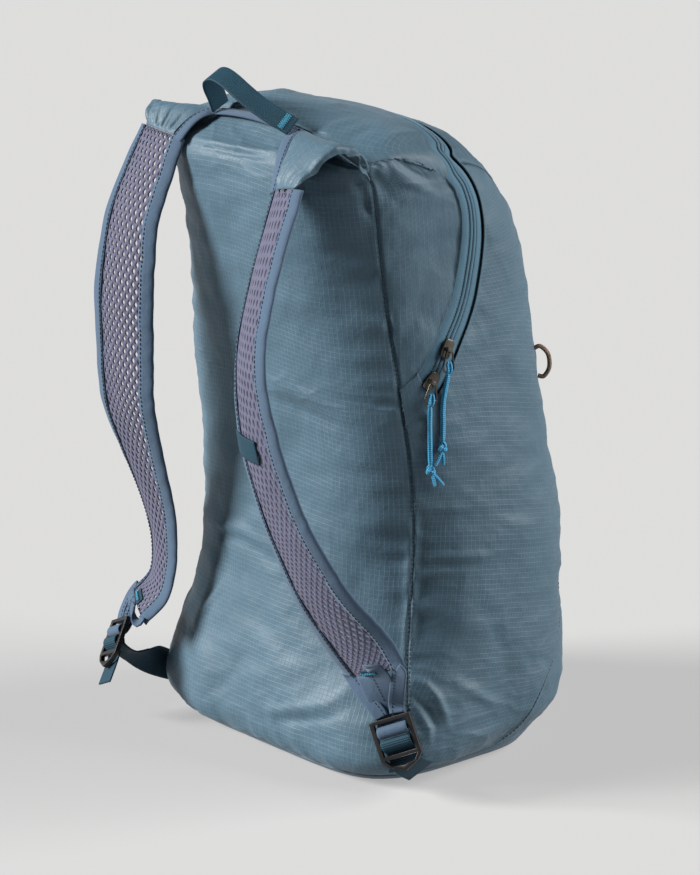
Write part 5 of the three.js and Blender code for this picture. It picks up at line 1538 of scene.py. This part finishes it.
def start_shape(name, primitive, **settings):
    """Add one of Blender's plain shapes, name it and open it for editing"""
    bpy.ops.object.select_all(action="DESELECT")
    primitive(**settings)
    piece = bpy.context.object
    piece.name = name
    piece.data.name = name
    start_editing(piece)
    return piece


def stop_editing():
    bpy.ops.object.mode_set(mode="OBJECT")
    bpy.ops.object.select_all(action="DESELECT")


def choose(piece, kind, test):
    """Select the faces, edges or points whose middle passes the test; sizes in mm"""
    modes = {"faces": "FACE", "edges": "EDGE", "verts": "VERT"}
    bpy.ops.mesh.select_mode(type=modes[kind])
    bpy.ops.mesh.select_all(action="DESELECT")
    shape = bmesh.from_edit_mesh(piece.data)
    found = 0
    for part in getattr(shape, kind):
        if kind == "verts":
            middle = part.co
        elif kind == "edges":
            middle = (part.verts[0].co + part.verts[1].co) / 2
        else:
            middle = part.calc_center_median()
        if test(*(middle * 1000)):
            part.select = True
            found += 1
    shape.select_flush_mode()
    bmesh.update_edit_mesh(piece.data)
    return found


def cut_at(axis, places):
    for place in places:
        bpy.ops.mesh.select_all(action="SELECT")
        spot = [0, 0, 0]
        spot[axis] = place / 1000
        facing = [0, 0, 0]
        facing[axis] = 1
        bpy.ops.mesh.bisect(plane_co=spot, plane_no=facing)


def settle(piece, matrix, material, replaces=()):
    """Put a finished shape in its place: the place goes into the mesh, and the object stays at the origin"""
    piece.data.transform(piece.matrix_basis)
    piece.matrix_basis = Matrix.Identity(4)
    piece.data.transform(matrix)
    piece.data.polygons.foreach_set("use_smooth", [True] * len(piece.data.polygons))
    return declare(piece, material, replaces)


def frame_matrix(middle, x_axis, y_axis, z_axis):
    matrix = Matrix.Identity(4)
    for row in range(3):
        matrix[row][0] = x_axis[row]
        matrix[row][1] = y_axis[row]
        matrix[row][2] = z_axis[row]
        matrix[row][3] = middle[row] / 1000
    return matrix


# %% [markdown]
# A ladder lock is a flat moulded frame with bars across it. A plane is cut along straight lines, the
# windows are deleted, two arms are extruded to the pointed tip, and Solidify and Bevel give the moulding
# its thickness and soft edges.

# %% The ladder-lock buckles
def ladder_lock(name):
    piece = start_shape(name, bpy.ops.mesh.primitive_plane_add, size=1.0, location=(0, 0, 0))
    bpy.ops.mesh.select_all(action="SELECT")
    bpy.ops.transform.resize(value=(BUCKLE_WIDTH / 1000, 26.6 / 1000, 1), center_override=(0, 0, 0))
    bpy.ops.transform.translate(value=(0, 3.7 / 1000, 0))
    window = BUCKLE_WIDTH / 2 - 3
    cut_at(0, [-window, window])
    cut_at(1, [14.6, 9.6, 7, 1.6, -1.2, -7])
    windows = [(9.6, 14.6), (1.6, 7), (-7, -1.2)]
    choose(piece, "faces", lambda x, y, z: abs(x) < window and any(a < y < b for a, b in windows))
    bpy.ops.mesh.delete(type="FACE")
    for hand in (-1, 1):
        choose(piece, "edges", lambda x, y, z: y < -9.5 and hand * x > window)
        bpy.ops.mesh.extrude_edges_move(TRANSFORM_OT_translate={"value": (-hand * 0.0035, -0.0044, 0)})
        bpy.ops.mesh.extrude_edges_move(TRANSFORM_OT_translate={"value": (0, 0, 0)})
        shape = bmesh.from_edit_mesh(piece.data)
        ends = sorted((v for v in shape.verts if v.select), key=lambda v: hand * v.co.x)
        ends[0].co = (0, -0.0150, 0)
        ends[-1].co = (0, -0.0190, 0)
        bmesh.update_edit_mesh(piece.data)
    bpy.ops.mesh.select_all(action="SELECT")
    bpy.ops.mesh.remove_doubles(threshold=0.00005)
    bpy.ops.mesh.normals_make_consistent(inside=False)
    stop_editing()
    apply_modifier(piece, "wall", "SOLIDIFY", thickness=BUCKLE_WALL / 1000, offset=0.0)
    apply_modifier(piece, "edges", "BEVEL", width=0.0008, segments=3, limit_method="ANGLE",
                   angle_limit=math.radians(40))
    return piece


for side in (RIGHT, LEFT):
    piece = ladder_lock(f"ladder_lock_{HANDS[side]}")
    settle(piece, frame_matrix(*buckle_frame(side)), moulded, [f"buckle_{HANDS[side]}"])
    print(piece.name, "faces:", len(piece.data.polygons))

# %% [markdown]
# Each zip slider is a plated casting: a rounded body on the tape and a crown over it, with an eye that
# the wire pull goes through. The crown is a block whose two sides are inset and bridged, which opens
# the eye.

# %% Sliders
SLIDERS = {"lower": 1.75, "upper": 3.4}


def zip_frame(position):
    index = int(position)
    a, b = ZIP_PLACES[index], ZIP_PLACES[index + 1]
    place = mix(a, b, position - index)
    outward = body_outward(place)
    along = unit(body_point(b) - body_point(a))
    along = unit(along - outward * dot(along, outward))
    across = np.cross(along, outward)
    return body_point(place) + outward * 0.86, across, along, outward


def in_order(piece):
    """Rebuild a mesh with its points and faces sorted, so that it comes out the same in every run"""
    mesh = piece.data
    points = [tuple(vert.co) for vert in mesh.vertices]
    order = sorted(range(len(points)), key=lambda k: [round(value, 7) for value in points[k]])
    place = {old: number for number, old in enumerate(order)}
    faces = []
    for face in mesh.polygons:
        corners = [place[k] for k in face.vertices]
        low = corners.index(min(corners))
        faces.append(corners[low:] + corners[:low])
    mesh.clear_geometry()
    mesh.from_pydata([points[k] for k in order], [], sorted(faces))


def slider_body(name):
    piece = start_shape(name, bpy.ops.mesh.primitive_cube_add, size=1.0, location=(0, 0, 0))
    bpy.ops.mesh.select_all(action="SELECT")
    bpy.ops.transform.resize(value=(7.6 / 1000, 12.4 / 1000, 1.7 / 1000), center_override=(0, 0, 0))
    bpy.ops.transform.translate(value=(0, 0, 0.85 / 1000))
    cut_at(1, [-3.4, 2.2, 4.6])
    choose(piece, "verts", lambda x, y, z: y > 6)
    bpy.ops.transform.resize(value=(0.62, 1, 1), center_override=(0, 0, 0))
    choose(piece, "verts", lambda x, y, z: y < -6)
    bpy.ops.transform.resize(value=(0.8, 1, 1), center_override=(0, 0, 0))
    choose(piece, "faces", lambda x, y, z: z > 1.6 and -3.4 < y < 2.2)
    bpy.ops.mesh.inset(thickness=0.0016, depth=0.0)
    bpy.ops.mesh.extrude_region_move(TRANSFORM_OT_translate={"value": (0, 0, 1.3 / 1000)})
    bpy.ops.mesh.extrude_region_move(TRANSFORM_OT_translate={"value": (0, 0, 1.9 / 1000)})
    bpy.ops.transform.resize(value=(0.92, 0.86, 1), center_override=(0, -0.6 / 1000, 4.9 / 1000))
    choose(piece, "faces", lambda x, y, z: abs(x) > 1 and 3.2 < z < 4.7 and abs(y + 0.6) < 1)
    bpy.ops.mesh.inset(thickness=0.00045, depth=0.0)
    choose(piece, "faces", lambda x, y, z: abs(x) > 1 and 3.2 < z < 4.7 and abs(y + 0.6) < 0.4)
    bpy.ops.mesh.bridge_edge_loops()
    stop_editing()
    in_order(piece)
    apply_modifier(piece, "edges", "BEVEL", width=0.00045, segments=3, limit_method="ANGLE",
                   angle_limit=math.radians(35))
    return piece


def wire_pull(name, position):
    """A wire ring, pulled out long, through the crown's eye and hanging from it"""
    middle, across, along, outward = zip_frame(position)
    down = unit(-np.array([0, 0, 1.0]) + outward * outward[2])
    hang = unit(-along * 4.5 + down * 12.5)
    hang = unit(hang + outward * 0.03)
    wide = unit(np.cross(outward, hang))
    face = np.cross(wide, hang)
    piece = start_shape(name, bpy.ops.mesh.primitive_torus_add, major_segments=48, minor_segments=14,
                        major_radius=4.15 / 1000, minor_radius=0.66 / 1000)
    choose(piece, "verts", lambda x, y, z: y > 0.01)
    bpy.ops.transform.translate(value=(0, 7.6 / 1000, 0))
    choose(piece, "verts", lambda x, y, z: y > 6)
    bpy.ops.transform.resize(value=(0.62, 0.9, 1), center_override=(0, 7.6 / 1000, 0))
    stop_editing()
    eye = middle + outward * 3.3
    start = eye + hang * 11.2 + outward * 0.35
    return piece, frame_matrix(start, wide, -hang, face), eye, hang, outward


pulls = {}
for name, position in SLIDERS.items():
    middle, across, along, outward = zip_frame(position)
    body = slider_body(f"slider_{name}_casting")
    settle(body, frame_matrix(middle, across, along, outward), gunmetal, [f"slider_{name}"])
    ring_piece, matrix, eye, hang, outward = wire_pull(f"wire_pull_{name}", position)
    settle(ring_piece, matrix, gunmetal, [f"bail_{name}"])
    pulls[name] = (eye, hang, outward)
    print(name, "slider faces:", len(body.data.polygons), "pull faces:", len(ring_piece.data.polygons))

# %% [markdown]
# Each pull has a doubled cord: it loops over the wire, and hangs down the cloth to a knot with two cut
# ends.

# %% Pull cords and their knots
PULL_CORDS = {
    "lower": np.array([[-27.6, 0.386, 0.8], [-28.9, 0.363, 0.8], [-29.8, 0.345, 1.9]]),
    "upper": np.array([[-20.9, 0.404, 0.8], [-22.9, 0.380, 0.8], [-24.3, 0.365, 1.9]]),
}
KNOT_SLANTS = {"lower": 0.35, "upper": -0.4}


def tube(name, route, radius, material, sides=14, step=0.5, shape=None, replaces=()):
    route = np.asarray(route, float)
    lengths = line_lengths(route)
    count = max(int(lengths[-1] / step), 6)
    wanted = np.interp(np.linspace(0, lengths[-1], count), lengths, np.linspace(0, 1, len(route)))
    line = catmull(route, wanted)
    tangent = unit(np.gradient(line, axis=0))
    normal = unit(np.cross(tangent[0], [0.3, 0.5, 0.8]))
    sides_of = []
    for t in tangent:
        normal = unit(normal - t * float(t @ normal))
        sides_of.append(normal)
    first = np.array(sides_of)
    second = np.cross(tangent, first)
    turns = np.arange(sides) * 2 * np.pi / sides
    thick = radius * (np.ones(count) if shape is None else shape(np.linspace(0, 1, count)))
    points = (line[:, None] + first[:, None] * (np.cos(turns)[None, :, None] * thick[:, None, None])
              + second[:, None] * (np.sin(turns)[None, :, None] * thick[:, None, None]))
    uv = np.stack([np.broadcast_to(turns[None] / (2 * np.pi), points.shape[:2]),
                   np.broadcast_to(line_lengths(line)[:, None] / 1000, points.shape[:2])], -1)
    piece = swept(name, points, uv, material, replaces)
    return piece, line


def rounded_ends(share):
    return np.sqrt(np.clip(1 - np.clip(np.abs(2 * share - 1) * 1.12 - 0.12, 0, 1) ** 10, 0.04, 1))


def knot_route(centre, down, side, front, size):
    turns = np.linspace(0.0, 2 * np.pi, 40) + 0.5
    x = np.sin(turns) + 2 * np.sin(2 * turns)
    y = np.cos(turns) - 2 * np.cos(2 * turns)
    z = -np.sin(3 * turns)
    spots = np.stack([x, y, z], -1) / 3 * size
    return centre + spots[:, :1] * side + spots[:, 1:2] * down + spots[:, 2:] * front


for name, (eye, hang, outward) in pulls.items():
    rows = PULL_CORDS[name]
    places = rows[:, :2]
    lying = body_point(places) + body_outward(places) * (PULL_CORD / 2 + GAP + rows[:, 2:])
    start = eye + hang * 15.3 + outward * 0.4
    route = np.concatenate([[start], lying])
    knot_lead = unit(route[-1] - route[-2])
    side = unit(np.cross(outward, knot_lead))
    front = np.cross(knot_lead, side)
    around, upward = body_slopes(places[-1])
    down = unit(-unit(upward) + unit(around) * KNOT_SLANTS[name])
    knot_middle = route[-1] + knot_lead * 2.6
    cord, line = tube(f"pull_cord_{name}_braid", route, PULL_CORD / 2, braid_blue,
                      replaces=[f"pull_cord_{name}"], shape=rounded_ends)
    knot, knot_line = tube(
        f"pull_knot_{name}_braid", knot_route(knot_middle, knot_lead, side, front, 2.6), 1.25, braid_blue,
        replaces=[f"pull_knot_{name}"])
    for number, lean in ((1, -0.22), (2, 0.3)):
        tip = knot_middle + (down + side * lean) * 12.5
        root = knot_middle + down * 1.5
        bowed = [root, mix(root, tip, 0.5) + front * 0.5, tip]
        end, end_line = tube(f"pull_cord_{name}_end_{number}", bowed, 1.1, braid_blue,
                             shape=rounded_ends)
    bottom = eye + hang * 14.6
    for hand in (-1, 1):
        spread = [
            bottom + hang * 1.5 + side * hand * 0.9,
            bottom - hang * 1.2 + outward * 1.7 + side * hand * 1.2,
            bottom - hang * 4.5 + outward * 0.9 + side * hand * 1.3,
            bottom - hang * 7.0 + outward * 0.4 + side * hand * 0.5,
        ]
        piece, hitch_line = tube(f"pull_cord_{name}_hitch_{'left' if hand < 0 else 'right'}", spread, 1.0,
                                 braid_blue, shape=rounded_ends)
    length = line_lengths(line)[-1] / 1000
    print(name, "pull cord in mm:", round(length * 1000, 1))
    if length > 0.03:
        (line[0] / 1000).tolist()
        (line / 1000).tolist()

# %% [markdown]
# A small loop of flecked cord stands out of the front. Both its ends are sewn into the bag.

# %% Front loop
LOOP_ROWS = [[0.5, 0], [0.55, 0.45], [0.3, 0.9], [0, 1], [-0.32, 0.85], [-0.55, 0.4], [-0.5, 0]]
loop_route = []
for rise, out in LOOP_ROWS:
    place = np.array([42, 0.41 + rise * 0.03])
    loop_route.append(body_point(place) + body_outward([42, 0.41]) * (0.9 + out * 9))
loop, loop_line = tube("front_loop_braid", loop_route, 1.5, braid_fleck, replaces=["front_loop"])
print("front loop in mm:", round(float(line_lengths(loop_line)[-1]), 1))

# %% [markdown]
# The camera stands where the photograph was taken from: 3 metres off, turned 50 degrees to the right
# of the back and 16.5 degrees up, with a long lens. Its frame is 700 by 875.

# %% Camera
AZIMUTH = math.radians(50.0)
ELEVATION = math.radians(16.5)
camera_right = np.array([math.cos(AZIMUTH), math.sin(AZIMUTH), 0.0])
camera_back = np.array([
    math.sin(AZIMUTH) * math.cos(ELEVATION), -math.cos(AZIMUTH) * math.cos(ELEVATION), math.sin(ELEVATION)])
camera_up = np.cross(camera_back, camera_right)
camera_eye = np.array([-47.64, 27.54, 182.96]) + 3000 * camera_back
camera_data = bpy.data.cameras.new("camera")
camera_data.sensor_width = 36
camera_data.lens = 181.44
camera_data.clip_end = 100
camera = bpy.data.objects.new("camera", camera_data)
bpy.context.scene.collection.objects.link(camera)
camera.matrix_world = frame_matrix(camera_eye, camera_right, camera_up, camera_back)
bpy.context.scene.camera = camera

# %% [markdown]
# The floor is plain and pale. Two wide soft lights stand to the left and the right, so the part of the
# back that faces the camera stays darkest, as in the photograph.

# %% Floor and lights
bpy.ops.object.select_all(action="DESELECT")
bpy.ops.mesh.primitive_plane_add(size=40.0, location=(0, 0, 0))
floor = bpy.context.object
floor.name = "floor"
floor_finish = Finish("floor_pale", Roughness=0.9, Specular_IOR_Level=0.1)
floor_finish.paint(Base_Color=(0.15, 0.15, 0.15, 1), Emission_Color=(1, 1, 1, 1), Emission_Strength=0.38)
floor.data.materials.append(floor_finish.material)
floor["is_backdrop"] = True


def soft_sun(name, direction, strength, spread, colour):
    data = bpy.data.lights.new(name, "SUN")
    data.energy = strength
    data.angle = math.radians(spread)
    data.color = colour
    light = bpy.data.objects.new(name, data)
    bpy.context.scene.collection.objects.link(light)
    light.rotation_euler = Vector(direction).to_track_quat("Z", "Y").to_euler()
    return light


left_way = -camera_right * 1.0 + camera_back * 0.05 + np.array([0, 0, 0.45])
right_way = camera_right * 0.95 + np.array([0, 0, 0.55])
soft_sun("sun_left", left_way, 9.6, 22, (1.0, 0.99, 0.97))
soft_sun("sun_right", right_way, 5.8, 40, (1.0, 0.99, 0.97))
world = bpy.data.worlds.new("studio")
world.use_nodes = True
world.node_tree.nodes["Background"].inputs["Color"].default_value = (0.90, 0.92, 0.95, 1)
world.node_tree.nodes["Background"].inputs["Strength"].default_value = 0.05
bpy.context.scene.world = world
bpy.context.scene.view_settings.view_transform = "Standard"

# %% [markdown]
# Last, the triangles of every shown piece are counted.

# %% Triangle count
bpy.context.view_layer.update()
triangles = sum(len(p.vertices) - 2 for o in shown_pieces() if o.type == "MESH" for p in o.data.polygons)
print("triangles:", triangles)
